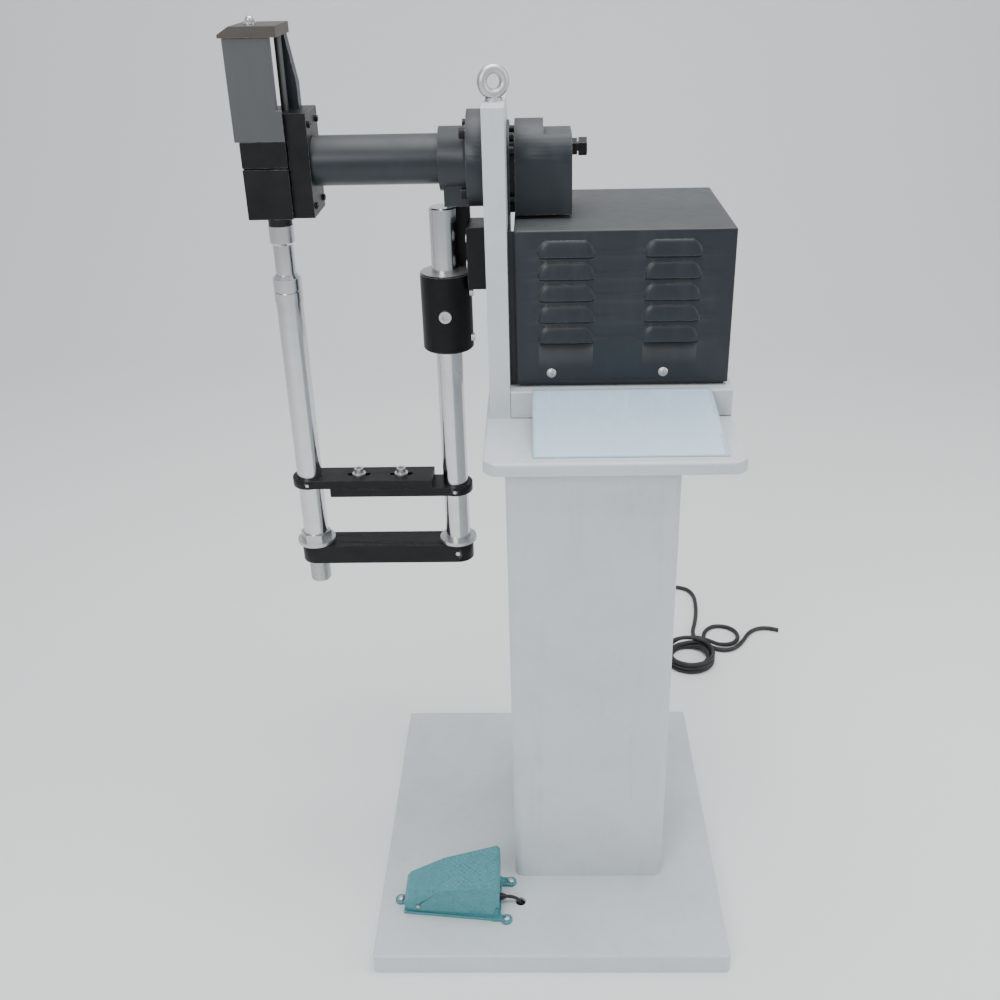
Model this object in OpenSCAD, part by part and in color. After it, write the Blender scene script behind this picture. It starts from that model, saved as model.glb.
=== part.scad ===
// Floor-standing post-anvil press: a motor head on a side arm over a height-adjustable post anvil.
// Millimetres, +Z up. The origin is at the centre of the underside of the base.
// The front of the machine looks along -Y, and the arm reaches out along -X.

/* [Stand] */
// Width of the base, side to side
base_w = 600; // [560:10:740]
// Depth of the base, front to back
base_d = 634; // [560:2:640]
// Height of the folded base
base_h = 38; // [30:1:50]
// Sheet thickness of the base
base_skin = 6; // [4:1:10]
// Width of the column
column_w = 264; // [220:2:320]
// Depth of the column
column_d = 320; // [260:2:390]
// Wall of the column
column_wall = 4; // [3:1:8]
// How far the column stands to the right of the base's centre
column_shift = 70; // [50:1:80]
// Height of the table's top above the floor
table_z = 886; // [730:2:1070]
// Width of the table
table_w = 388; // [360:2:470]
// Depth of the table
table_d = 480; // [470:2:580]
// Thickness of the table's rim
table_t = 20; // [14:1:30]
// Sheet thickness of the table
table_skin = 4; // [3:1:8]
// How far the table stands out in front of the column
table_lip = 32; // [10:1:60]

/* [Upper frame] */
// Height of the tray under the motor cover
rail_h = 45; // [35:1:60]
// Depth of the tray and the post
frame_d = 311; // [300:1:315]
// Depth of the open table in front of the tray
ledge_d = 165; // [140:1:165]
// Thickness of the post plate
post_t = 32; // [27:1:38]
// Height of the post above the table
post_h = 470; // [460:2:560]
// Height of the motor cover
cover_h = 248; // [230:1:255]
// Sheet thickness of the motor cover
cover_skin = 2; // [1:0.5:4]
// Louvres in each column of the motor cover
louvre_rows = 5; // [3:1:6]

/* [Arm] */
// Height of the arm's axis above the table
arm_rise = 376; // [370:1:380]
// Arm's axis behind the front of the post
arm_back = 151; // [140:1:160]
// Outside diameter of the arm tube
arm_d = 76; // [63:1:84]
// Wall of the arm tube
arm_wall = 8; // [5:1:12]
// Free length of the arm, from the post to the head
arm_reach = 267; // [222:1:321]
// Diameter of the flange against the post
flange_d = 146; // [140:1:150]
// Thickness of that flange
flange_t = 29; // [20:1:40]
// Length of the hub behind the flange
hub_l = 44; // [30:1:60]
// Wall of the hub around the arm tube
hub_wall = 10.5; // [8:0.5:13]

/* [Drive] */
// Diameter of the crankshaft
shaft_d = 25; // [20:1:28]
// Outside diameter of the crankshaft bearings
bearing_d = 52; // [47:1:56]
// Width of the crankshaft bearings
bearing_t = 15; // [12:1:16]
// Outside radius of the drive housing
housing_r = 58; // [56:1:62]
// Wall of the drive housing
housing_wall = 7; // [5:1:8]
// Outside diameter of the drive wheel
wheel_d = 68; // [58:1:68]
// Outside diameter of the motor pulley
pulley_d = 44; // [42:1:60]
// Outside diameter of the motor
motor_d = 138; // [120:1:146]
// Length of the motor's stator
motor_l = 150; // [110:1:160]
// Diameter of the motor shaft
motor_shaft_d = 19; // [14:1:22]
// Width of the belt
belt_w = 10; // [8:1:12]
// Thickness of the belt
belt_t = 7; // [5:1:8]
// Full stroke of the ram
stroke = 26; // [20:1:30]

/* [Head] */
// Width of the head block
head_w = 102; // [98:1:122]
// Depth of the head block
head_d = 90; // [84:1:108]
// Head block below the arm's axis
head_drop = 79; // [74:1:94]
// Head block above the arm's axis
head_rise = 77; // [64:1:92]
// Height of the tower above the head block
tower_h = 107; // [104:1:128]
// Thickness of the head's front plates
plate_t = 8; // [6:1:12]
// Thickness of the ram
ram_t = 18; // [15:1:20]
// Width of the ram's lower blade
ram_w = 24; // [20:1:28]

/* [Anvil] */
// Diameter of the two upright rods
rod_d = 44; // [40:1:52]
// Gap between the head and the anvil
anvil_gap = 8; // [6:1:12]
// Height of the anvil's top above the lower bar
anvil_h = 592; // [493:1:710]
// Height of the support rod above the lower bar
support_h = 605; // [590:1:640]
// Distance from the post to the support rod
support_out = 73; // [66:1:84]
// Width of the lower bar
bar_w = 54; // [52:1:65]
// Thickness of the lower bar
bar_t = 36; // [30:1:44]
// Width of each link bar
link_w = 56; // [54:1:66]
// Thickness of each link bar
link_t = 16; // [12:1:20]
// Height of the link bars' joint face above the lower bar
link_rise = 117; // [60:1:140]
// Outside diameter of the clamp holder
clamp_d = 84; // [70:1:100]
// Height of the clamp holder
clamp_h = 130; // [108:1:156]
// Top of the clamp holder below the arm's axis
clamp_below = 178; // [165:1:200]
// Travel of the fine height screw
fine = 4; // [2:0.5:6]

/* [Foot switch] */
// Length of the foot switch without its ears
foot_l = 170; // [150:1:190]
// Width of the foot switch at the heel
heel_w = 98; // [90:1:110]
// Width of the foot switch at the toe
toe_w = 62; // [58:1:76]
// Height of the treadle at the heel above the base
heel_h = 81; // [76:1:90]
// Wall of the treadle
treadle_wall = 3; // [2:0.5:4]

/* [Fits] */
// Radial clearance of a running fit
run_fit = 0.05; // [0.02:0.01:0.1]
// Clearance beside a sliding or turning piece
gap = 0.5; // [0.4:0.1:1]

/* [Cord] */
// Diameter of the mains lead
cord_d = 10; // [8:1:11]
// Diameter of the foot switch's lead
foot_lead_d = 6; // [4:1:7]

/* [Hidden] */
$fn = 48;
TRIM = 0.01;

// the table and what stands on it
table_x = 100;
table_front = -176;
table_y = table_front + table_d / 2;
column_y = table_front + table_lip + column_d / 2;
column_edge = 14;
frame_front = table_front + ledge_d;
post_l = table_x - table_w / 2 + 7;
post_r = post_l + post_t;
frame_r = table_x + table_w / 2 - 1;
tray_z = table_z + rail_h;
cover_l = post_r + 10;
cover_foot = 6;
cover_r = frame_r - 7;
cover_front = frame_front + 19;
cover_back = frame_front + frame_d - 5;
cover_top = tray_z + cover_h;
post_top = table_z + post_h;
eye_y = frame_front + 73;

// shapes of the sheet-metal edges
base_corner = 8;
base_edge = 4;
table_corner = 24;
table_edge = 5;

// the motor cover's louvres and screws
louvre_w = 86;
louvre_h = 25;
louvre_pitch = 33.5;
louvre_out = 5;
louvre_apart = 160;
cover_screw_x = [cover_l + 55, cover_l + 229];
cover_screw_z = tray_z + 24;

// the arm and the head
arm_y = frame_front + arm_back;
arm_z = table_z + arm_rise;
hub_d = arm_d + 2 * hub_wall;
flange_l = post_l - flange_t;
hub_left = flange_l - hub_l;
head_r = post_l - arm_reach;
head_l = head_r - head_w;
head_front = arm_y - head_d / 2;
head_bottom = arm_z - head_drop;
head_top = arm_z + head_rise;
arm_socket = 10;
bolt_d = 10;
bolt_head_d = 16;
flange_bolt_r = (hub_d / 2 + flange_d / 2) / 2 + 2;
pad_w = 60;
pad_drop = 20;

// the drive
crank_r = stroke / 2;
pin_d = 14;
pin_slot = pin_d + 6;
ram_x = head_r - 66;
ram_l = ram_x - ram_t / 2;
ram_r = ram_x + ram_t / 2;
disc_r = 24;
disc_l = ram_r + 6;
disc_t = 16;
yoke_w = 2 * (crank_r + pin_d / 2 + 3 + 8);
yoke_wall = 10;
yoke_h = pin_slot + 2 * yoke_wall;
yoke_z = arm_z + crank_r;
cavity_w = yoke_w + 8;
cavity_l = ram_l - 4;
cavity_r = disc_l + disc_t + 4;
cavity_low = arm_z - crank_r - yoke_h / 2 - 2;
cavity_high = yoke_z + yoke_h / 2 + 4;
stud_x = ram_x - 5;
stud_y = arm_y - 26;
stem_d = 10;
stem_top = head_top + tower_h - 22;
collar_d = 22;
collar_t = 6;
bearing_front = cavity_r + 4;
bearing_rear = post_l + 8;
housing_bottom = cover_top + 6;
housing_neck = 12;
housing_step = post_r + 56;
housing_r_end = post_r + 99;
coil_l = post_r + housing_neck + 4;
coil_t = 16;
armature_t = 8;
wheel_l = coil_l + coil_t + armature_t + 2 * gap;
wheel_t = 26;
groove_w = belt_w + 1;
belt_x = wheel_l + wheel_t / 2;
shaft_end = wheel_l + wheel_t + 4;
motor_z = tray_z + motor_d / 2 + 11;
motor_left = cover_l + 96;
bell_t = 14;
motor_right = motor_left + motor_l + 2 * bell_t;
rotor_d = motor_d / 2;

// the post anvil
anvil_x = ram_x;
support_x = post_l - support_out;
anvil_top = head_bottom - anvil_gap;
bar_top = anvil_top - anvil_h;
link_z = bar_top + link_rise;
clamp_top = arm_z - clamp_below;
clamp_bottom = clamp_top - clamp_h;
pad_t = 12;
pad_d = rod_d - 6;
anvil_head_d = rod_d - 4;
anvil_head_h = 31;
neck_d = rod_d - 11;
neck_low = anvil_top - pad_t - anvil_head_h - 126;
ring_d = rod_d + 2.5;
ring_top = anvil_top - 92;
ring_low = ring_top - 25;
rod_top = ring_low - 0.3;
stub_d = rod_d - 8;
nut_top = bar_top + 20;
washer_t = 6;
link_bolt_d = 10;
link_bolt_x = [for (part = [0.34, 0.63]) anvil_x + part * (support_x - anvil_x)];
slot_l = 40;

// the bracket of the support rod's clamp
bracket_low = clamp_top - 24;
bracket_high = clamp_top + 76;
bracket_front = arm_y - 28;
bracket_deep = 68;
lug_l = support_x + rod_d / 2 + 16;

// the foot switch
foot_x = -86;
foot_y = -197;
foot_z = base_h;
toe_x = foot_x - foot_l;
foot_flange = 5;
pivot_x = foot_x - 144;
pivot_z = foot_z + 22;
pivot_d = 6;
plunger_x = pivot_x + 50;
plunger_z = foot_z + 38;
plunger_d = 4;
lead_out = [-52, -202];
lead_up = [18, -66];
riser = [62, 40];

// where the mains lead leaves the column
exit_x = 150;
exit_z = 92;
exit_y = column_y + column_d / 2;

// route of the mains lead from its gland to the coil, behind the base
cord_run_points = [
    [150, 206, 92], [150, 232, 89], [151, 262, 78], [153, 292, 63], [156, 322, 50],
    [160, 350, 33], [166, 380, 16], [174, 412, 7], [186, 450, 5], [202, 505, 5],
    [222, 570, 5], [244, 640, 5], [266, 710, 5], [283, 762, 5], [293, 796, 5], [300, 824, 5],
    [312, 851, 5], [334, 866, 5], [358, 866, 5], [380, 851, 5], [390, 822, 5], [390, 784, 5],
    [385, 740, 5], [376, 698, 5], [367, 660, 5], [372, 624, 5], [388, 590, 5], [400, 555, 5]];
// route of its free end, from the top of the coil
cord_tail_points = [
    [345, 610, 25], [370, 610, 25], [395, 605, 20], [421, 602, 11], [448, 608, 6],
    [467, 622, 5], [475, 645, 5], [468, 669, 5], [448, 684, 5], [423, 685, 5], [403, 671, 5],
    [392, 648, 5], [392, 625, 5], [401, 602, 5], [420, 588, 5], [443, 586, 5], [465, 598, 5],
    [484, 622, 5], [501, 650, 5], [519, 668, 5], [539, 676, 5], [560, 675, 5], [580, 667, 5]];
coil_at = [345, 555];
coil_r = 50;
coil_wide = 22;
coil_high = 30;

// ---------- shared shapes ----------

// a rectangle with round corners, centred
module round_rect(w, d, r) {
    square([w - 2 * r, d], center = true);
    square([w, d - 2 * r], center = true);
    for (sx = [-1, 1], sy = [-1, 1])
        translate([sx * (w / 2 - r), sy * (d / 2 - r)]) circle(r);
}

// side view of a slab with rounded top edges
module soft_profile(w, h, edge) {
    translate([-w / 2, 0]) square([w, h - edge]);
    translate([-w / 2 + edge, 0]) square([w - 2 * edge, h]);
    for (s = [-1, 1]) translate([s * (w / 2 - edge), h - edge]) circle(edge);
}

// a slab with round corners and rounded top edges
module soft_slab(w, d, h, corner, edge) {
    intersection() {
        linear_extrude(h) round_rect(w, d, corner);
        rotate([90, 0, 0]) linear_extrude(d + 2, center = true) soft_profile(w, h, edge);
        rotate([90, 0, 90]) linear_extrude(w + 2, center = true) soft_profile(d, h, edge);
    }
}

// a round bar along +X
module bar_x(d, x0, x1) {
    translate([x0, 0, 0]) rotate([0, 90, 0]) cylinder(d = d, h = x1 - x0);
}

// a ring along +X
module ring_x(d_out, d_in, x0, x1) {
    difference() {
        bar_x(d_out, x0, x1);
        bar_x(d_in, x0 - 1, x1 + 1);
    }
}

// puts what follows on the arm's axis
module on_arm() {
    translate([0, arm_y, arm_z]) children();
}

// draws a (Y, Z) outline along X
module along_x(x0, x1) {
    translate([x0, 0, 0]) rotate([90, 0, 90]) linear_extrude(x1 - x0) children();
}

// a hexagon of the given width across flats
module hex_bar(flats, h) {
    cylinder(d = flats / cos(30), h = h, $fn = 6);
}

// a cap screw with a socket, head upwards, its seat at z = 0
module cap_screw(d, head_d, head_h, length) {
    difference() {
        union() {
            translate([0, 0, -length]) cylinder(d = d, h = length + TRIM);
            cylinder(d = head_d, h = head_h);
        }
        translate([0, 0, head_h / 2]) hex_bar(head_d / 2, head_h);
    }
}

// ---------- swept tubes ----------

function unit(v) = v / norm(v);
function heading(p, i) = unit(p[min(i + 1, len(p) - 1)] - p[max(i - 1, 0)]);
function turned(n, t) = unit(n - (n * t) * t);
function normals(p) = [
    for (i = 0, n = turned([0.1, 0.2, 1], heading(p, 0)); i < len(p);
         i = i + 1, n = turned(n, heading(p, min(i, len(p) - 1)))) n];
// one point of a smooth curve between p[i] and p[i + 1]
function curve_point(p, i, t) =
    let (a = p[max(i - 1, 0)], b = p[i], c = p[i + 1], d = p[min(i + 2, len(p) - 1)])
    0.5 * (2 * b + (c - a) * t + (2 * a - 5 * b + 4 * c - d) * t * t
           + (3 * b - a - 3 * c + d) * t * t * t);
function curve(p, steps) = [
    for (i = [0 : len(p) - 2], s = [0 : steps - 1]) curve_point(p, i, s / steps),
    p[len(p) - 1]];
function helix(r, z0, z1, turns, steps) = [
    for (i = [0 : turns * steps])
        [r * cos(360 * i / steps), r * sin(360 * i / steps), z0 + (z1 - z0) * i / (turns * steps)]];

// a round tube of diameter d along the points p
module tube(p, d, sides = 8) {
    n = normals(p);
    rings = [for (i = [0 : len(p) - 1], k = [0 : sides - 1])
        let (t = heading(p, i), side = cross(t, n[i]), a = 360 * k / sides)
        p[i] + d / 2 * (cos(a) * n[i] + sin(a) * side)];
    last = (len(p) - 1) * sides;
    faces = concat(
        [[for (k = [sides - 1 : -1 : 0]) k]],
        [for (i = [0 : len(p) - 2], k = [0 : sides - 1])
            let (a = i * sides + k, b = i * sides + (k + 1) % sides)
            [a, b, b + sides, a + sides]],
        [[for (k = [0 : sides - 1]) last + k]]);
    polyhedron(rings, [for (f = faces) [for (k = [len(f) - 1 : -1 : 0]) f[k]]], convexity = 8);
}

// ---------- stand ----------

module base_plate() {
    color("gainsboro") difference() {
        soft_slab(base_w, base_d, base_h, base_corner, base_edge);
        // hollow inside, above the welded bottom plate
        translate([0, 0, base_skin]) linear_extrude(base_h - 2 * base_skin)
            round_rect(base_w - 2 * base_skin, base_d - 2 * base_skin, base_corner - base_skin);
        // openings in the top for the foot switch's lead
        translate([lead_out[0], lead_out[1], base_h / 2]) cylinder(d = 18, h = base_h);
        translate([lead_up[0], lead_up[1], base_h / 2]) cylinder(d = 30, h = base_h);
        foot_screw_places() translate([0, 0, -20]) cylinder(d = 5, h = 21);
    }
}

module column() {
    tall = table_z - table_skin - base_h;
    color("gainsboro") difference() {
        translate([column_shift, column_y, base_h]) linear_extrude(tall) difference() {
            round_rect(column_w, column_d, column_edge);
            round_rect(column_w - 2 * column_wall, column_d - 2 * column_wall,
                       column_edge - column_wall);
        }
        translate([exit_x, exit_y, exit_z]) rotate([90, 0, 0])
            cylinder(d = 20, h = 4 * column_wall, center = true);
    }
}

module table_top() {
    rim = 2 * table_edge + 2;
    color("gainsboro") difference() {
        translate([table_x, table_y, table_z - table_t])
            soft_slab(table_w, table_d, table_t, table_corner, table_edge);
        translate([table_x, table_y, table_z - table_t - 1])
            linear_extrude(table_t - table_skin + 1)
                round_rect(table_w - 2 * rim, table_d - 2 * rim, table_corner - rim);
        translate([riser[0], riser[1], table_z - table_t - 1]) cylinder(d = 40, h = table_t + 2);
    }
}

// ---------- upper frame ----------

module frame_base() {
    skin = 4;
    w = frame_r - post_r;
    color("gainsboro") difference() {
        translate([post_r, frame_front, table_z]) cube([w, frame_d, rail_h]);
        translate([post_r + skin, frame_front + skin, table_z - 1])
            cube([w - 2 * skin, frame_d - 2 * skin, rail_h - skin + 1]);
        translate([riser[0], riser[1], table_z]) cylinder(d = 40, h = rail_h + 1);
        for (x = cover_screw_x, y = [frame_front, frame_front + frame_d])
            translate([x, y, tray_z - 12]) rotate([90, 0, 0])
                cylinder(d = 6, h = 4 * skin, center = true);
    }
}

module frame_post() {
    back = frame_front + frame_d;
    crown = frame_front + 166;
    color("gainsboro") difference() {
        along_x(post_l, post_r) polygon([
            [frame_front, table_z], [back, table_z], [back, post_top - 120],
            [crown, post_top], [frame_front, post_top]]);
        // bores for the rear bearing and the crankshaft
        on_arm() {
            bar_x(bearing_d, bearing_rear, post_r + 1);
            bar_x(shaft_d + 8, post_l - 1, post_r + 1);
            flange_bolt_places() bar_x(bolt_d, post_l - 1, post_l + 26);
            housing_bolt_places() bar_x(bolt_d, post_r - 24, post_r + 1);
        }
        translate([(post_l + post_r) / 2, eye_y, post_top - 24]) cylinder(d = 12, h = 25);
        bracket_bolt_places() bar_x(bolt_d, post_l - 1, post_l + 24);
    }
}

module flange_bolt_places() {
    for (a = [45 : 90 : 315]) rotate([a, 0, 0]) translate([0, flange_bolt_r, 0]) children();
}

module housing_bolt_places() {
    for (y = [-1, 1], place = [[34, 36], [47, 18], [47, -56]])
        translate([0, y * place[0], place[1]]) children();
}

module eye_bolt() {
    ring_r = 17.2;
    wire = 7.2;
    color("lightsteelblue") translate([(post_l + post_r) / 2, eye_y, post_top]) {
        translate([0, 0, 27]) rotate([90, 0, 22]) rotate_extrude()
            translate([ring_r, 0]) circle(wire);
        cylinder(d = 26, h = 5);
        cylinder(d = 14, h = 8);
        translate([0, 0, -22]) cylinder(d = 12, h = 23);
    }
}

// ---------- motor cover ----------

module louvre_places() {
    for (side = [0, 1], row = [0 : louvre_rows - 1])
        translate([cover_l + 35 + side * louvre_apart, cover_front,
                   cover_top - 15 - row * louvre_pitch])
            children();
}

module motor_cover() {
    w = cover_r - cover_l;
    d = cover_back - cover_front;
    skirt = tray_z + cover_foot;
    color("darkslategray") difference() {
        union() {
            translate([cover_l, cover_front, skirt]) cube([w, d, cover_top - skirt]);
            // set-back foot that stands on the tray
            translate([cover_l + cover_foot, cover_front + cover_foot, tray_z])
                cube([w - 2 * cover_foot, d - 2 * cover_foot, cover_foot + 1]);
            // pressed louvres, open along their lower edge
            louvre_places() translate([louvre_w / 2, 0, 0]) intersection() {
                translate([0, 0, -louvre_h / 2]) rotate([0, 90, 0])
                    scale([1, louvre_out / (louvre_h / 2), 1])
                        cylinder(r = louvre_h / 2, h = louvre_w, center = true);
                translate([-louvre_w / 2, -louvre_out, -louvre_h])
                    cube([louvre_w, louvre_out + 1, louvre_h]);
            }
        }
        translate([cover_l + cover_skin, cover_front + cover_skin, skirt + cover_skin])
            cube([w - 2 * cover_skin, d - 2 * cover_skin, cover_top - skirt - 2 * cover_skin]);
        translate([cover_l + cover_foot + cover_skin, cover_front + cover_foot + cover_skin, tray_z - 1])
            cube([w - 2 * cover_foot - 2 * cover_skin, d - 2 * cover_foot - 2 * cover_skin,
                  cover_foot + cover_skin + 2]);
        louvre_places() translate([2, -louvre_out + 1.5, -louvre_h - 1])
            cube([louvre_w - 4, louvre_out + cover_skin + 2, 4]);
        // slot for the belt
        translate([belt_x - belt_w / 2 - 6, arm_y - wheel_d / 2 - 4, cover_top - cover_skin - 1])
            cube([belt_w + 12, wheel_d + 8, cover_skin + 2]);
        for (x = cover_screw_x, y = [cover_front, cover_back])
            translate([x, y, cover_screw_z]) rotate([90, 0, 0])
                cylinder(d = 6, h = 4 * cover_skin, center = true);
    }
}

// round-headed screws, two in the front and two in the back
module cover_screws() {
    color("silver") for (x = cover_screw_x) {
        translate([x, cover_front, cover_screw_z]) rotate([90, 0, 0]) screw_head();
        translate([x, cover_back, cover_screw_z]) rotate([-90, 0, 0]) screw_head();
    }
}

module screw_head() {
    translate([0, 0, -cover_skin - 6]) cylinder(d = 6, h = cover_skin + 6 + TRIM);
    difference() {
        intersection() {
            cylinder(d = 15, h = 5);
            translate([0, 0, -6]) sphere(r = 10.5);
        }
        for (a = [45, 135]) rotate([0, 0, a]) translate([-4, -0.8, 2.2]) cube([8, 1.6, 4]);
    }
}

// a loose blank sheet that leans on the tray
module table_sheet() {
    sheet_low = frame_front - 146;
    sheet_rise = rail_h + 1;
    slope = atan(sheet_rise / 143);
    color("lightblue") translate([cover_l + 25, sheet_low, table_z + 0.3]) rotate([slope, 0, 0])
        cube([288, 155, 1.2]);
}

// ---------- arm ----------

module arm_flange() {
    color("darkslategray") difference() {
        union() {
            on_arm() {
                bar_x(flange_d, flange_l, post_l);
                bar_x(hub_d, hub_left, flange_l + 1);
                // fillet between hub and flange
                translate([flange_l - 6, 0, 0]) rotate([0, 90, 0])
                    cylinder(d1 = hub_d, d2 = hub_d + 8, h = 7);
            }
            // pad under the hub that carries the clamp bracket
            translate([hub_left + 6, arm_y - pad_w / 2, arm_z - hub_d / 2 - pad_drop])
                cube([hub_l - 6, pad_w, pad_drop + 20]);
        }
        on_arm() {
            bar_x(arm_d, hub_left - 1, post_l + 1);
            flange_bolt_places() bar_x(bolt_d, flange_l - 1, post_l + 1);
        }
    }
}

module arm_tube() {
    color("darkslategray") on_arm()
        ring_x(arm_d, arm_d - 2 * arm_wall, head_r - arm_socket, post_l);
}

module flange_bolts() {
    color("dimgray") on_arm() {
        flange_bolt_places() translate([flange_l, 0, 0]) rotate([0, -90, 0])
            cap_screw(bolt_d, bolt_head_d, 10, flange_t + 24);
        housing_bolt_places() translate([post_r + 4, 0, 0]) rotate([0, 90, 0])
            cap_screw(bolt_d, bolt_head_d - 2, 7, 24);
    }
}

// outline of the drive housing: a half round on straight sides, about the arm's axis
module housing_outline(r) {
    circle(r);
    translate([-r, housing_bottom - arm_z]) square([2 * r, arm_z - housing_bottom]);
}

module gear_housing() {
    flat_top = 39;
    color("darkslategray") on_arm() difference() {
        union() {
            // bolting plate, neck and body
            along_x(post_r, post_r + 4) housing_outline(housing_r - 2);
            along_x(post_r, post_r + housing_neck + 1) housing_outline(housing_r - 22);
            along_x(post_r + housing_neck, housing_step) housing_outline(housing_r);
            intersection() {
                along_x(housing_step - 1, housing_r_end) housing_outline(housing_r);
                translate([post_r, -housing_r, -2 * housing_r])
                    cube([200, 2 * housing_r, 2 * housing_r + flat_top]);
            }
        }
        // inside, open at the bottom for the belt
        intersection() {
            along_x(post_r + housing_neck + 3, housing_r_end - housing_wall)
                union() {
                    circle(housing_r - housing_wall);
                    translate([-housing_r + housing_wall, housing_bottom - arm_z - 1])
                        square([2 * (housing_r - housing_wall), arm_z - housing_bottom + 1]);
                }
            union() {
                translate([post_r, -100, -200]) cube([housing_step - post_r - housing_wall, 200, 300]);
                translate([post_r, -100, -200]) cube([200, 200, 200 + flat_top - housing_wall / 2]);
            }
        }
        bar_x(bearing_d + 4, post_r - 1, post_r + housing_neck + 4);
        housing_bolt_places() bar_x(bolt_d, post_r - 1, post_r + 5);
        translate([0, 0, 15]) bar_x(14, housing_r_end - 2 * housing_wall, housing_r_end + 1);
    }
}

// threaded stop for the crank's rest place, with its lock nut
module stop_screw() {
    color("dimgray") translate([housing_r_end, arm_y, arm_z + 15]) rotate([0, 90, 0]) {
        translate([0, 0, -housing_wall - 2]) cylinder(d = 14, h = housing_wall + 3);
        hex_bar(22, 9);
        translate([0, 0, 9]) cylinder(d = 14, h = 3);
        translate([0, 0, 11]) hex_bar(24, 13);
    }
}

module crank_bearings() {
    color("silver") on_arm() for (x = [bearing_front, bearing_rear])
        ring_x(bearing_d, shaft_d + 2 * run_fit, x, x + bearing_t);
}

// ---------- drive ----------

module motor_frame() {
    foot_w = motor_d * 0.8;
    terminal = [60, 34, 56];
    color("slategray") translate([0, arm_y, motor_z]) {
        ring_x(motor_d, rotor_d + 2 * gap, motor_left + bell_t, motor_right - bell_t);
        for (x = [motor_left, motor_right - bell_t])
            ring_x(motor_d - 8, motor_shaft_d + 2 * run_fit, x, x + bell_t);
        // foot
        difference() {
            translate([motor_left + bell_t + 10, -foot_w / 2, tray_z - motor_z])
                cube([motor_l - 20, foot_w, motor_z - tray_z - rotor_d / 2 - 14]);
            bar_x(motor_d - 1, motor_left, motor_right);
        }
        // terminal box
        translate([motor_left + bell_t + 30, -motor_d / 2 - terminal[1] + 8, -terminal[2] / 2])
            cube(terminal);
    }
}

module motor_rotor() {
    color("silver") translate([0, arm_y, motor_z]) {
        bar_x(rotor_d, motor_left + bell_t + 12, motor_right - bell_t - 12);
        bar_x(motor_shaft_d, belt_x - wheel_t / 2 - 2, motor_right + 22);
        // cooling fan on the far end
        for (a = [0 : 45 : 315]) rotate([a, 0, 0])
            translate([motor_right + 4, 0, -1.5]) cube([16, motor_d / 2 - 12, 3]);
    }
}

// a grooved wheel along X, from x = 0
module grooved_wheel(d, width, bore) {
    difference() {
        bar_x(d, 0, width);
        translate([(width - groove_w) / 2, 0, 0]) ring_x(d + 2, d - 2 * belt_t, 0, groove_w);
        bar_x(bore, -1, width + 1);
    }
}

module motor_pulley() {
    color("dimgray") translate([belt_x - wheel_t / 2, arm_y, motor_z])
        grooved_wheel(pulley_d, wheel_t, motor_shaft_d);
}

module drive_wheel() {
    color("dimgray") on_arm() translate([wheel_l, 0, 0])
        grooved_wheel(wheel_d, wheel_t, shaft_d + 2 * run_fit);
}

// outline of an open belt around two circles, one at the origin and one below it
module belt_outline(r_top, r_low, fall) {
    lean = asin((r_top - r_low) / fall);
    steps = 24;
    polygon(concat(
        [for (i = [0 : steps]) let (a = -lean + i * (180 + 2 * lean) / steps)
            r_top * [cos(a), sin(a)]],
        [for (i = [0 : steps]) let (a = 180 + lean + i * (180 - 2 * lean) / steps)
            [0, -fall] + r_low * [cos(a), sin(a)]]));
}

module drive_belt() {
    fall = arm_z - motor_z;
    seat = 0.3;
    r_top = wheel_d / 2 - belt_t + seat;
    r_low = pulley_d / 2 - belt_t + seat;
    color("black") on_arm() along_x(belt_x - belt_w / 2, belt_x + belt_w / 2) difference() {
        belt_outline(r_top + belt_t, r_low + belt_t, fall);
        belt_outline(r_top, r_low, fall);
    }
}

module clutch_coil() {
    color("saddlebrown") on_arm()
        ring_x(2 * (housing_r - housing_wall - 4), shaft_d + 6, coil_l, coil_l + coil_t);
}

module clutch_plate() {
    color("silver") on_arm()
        ring_x(80, shaft_d, coil_l + coil_t + gap, coil_l + coil_t + gap + armature_t);
}

module crankshaft() {
    color("silver") on_arm() {
        bar_x(2 * disc_r, disc_l, disc_l + disc_t);
        bar_x(shaft_d, disc_l + disc_t - 1, shaft_end - 3);
        bar_x(shaft_d + 8, wheel_l + wheel_t + gap, shaft_end);
        translate([0, 0, crank_r]) bar_x(pin_d - 4, ram_l, disc_l + 1);
    }
}

module crank_roller() {
    color("goldenrod") on_arm() translate([0, 0, crank_r])
        ring_x(pin_d, pin_d - 4, ram_l, ram_r + 2);
}

// leads inside the base, the column and the tray
module inner_leads() {
    terminal_z = motor_z - 28;
    terminal_x = motor_left + bell_t + 50;
    foot_lead = [
        [-78, -203, foot_z + 14], [-68, -203, foot_z + 13], [-58, -202, foot_z + 7],
        [-53, -202, foot_z - 4], [-48, -198, foot_z - 15], [-34, -176, foot_z - 22],
        [-8, -124, foot_z - 22], [10, -86, foot_z - 18], [18, -66, foot_z - 2],
        [20, -50, foot_z + 30], [22, -40, foot_z + 90], [24, -36, foot_z + 220],
        [26, -34, table_z - 240], [30, -20, table_z - 120], [46, 20, table_z - 50],
        [54, 34, table_z - 10], [56, 38, tray_z - 10], [58, 42, tray_z + 12],
        [terminal_x - 12, arm_y - motor_d / 2 - 8, terminal_z]];
    mains_lead = [
        [exit_x, exit_y - 24, exit_z], [exit_x, exit_y - 40, exit_z + 6],
        [140, 110, exit_z + 30], [110, 80, exit_z + 90], [88, 60, exit_z + 200],
        [80, 52, table_z - 240], [76, 50, table_z - 120], [72, 48, table_z - 40],
        [68, 46, tray_z - 10], [72, 50, tray_z + 10],
        [terminal_x + 12, arm_y - motor_d / 2 - 8, terminal_z]];
    color("black") {
        tube(curve(foot_lead, 3), foot_lead_d);
        tube(curve(mains_lead, 4), cord_d - 2);
    }
}

// ---------- head ----------

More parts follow.
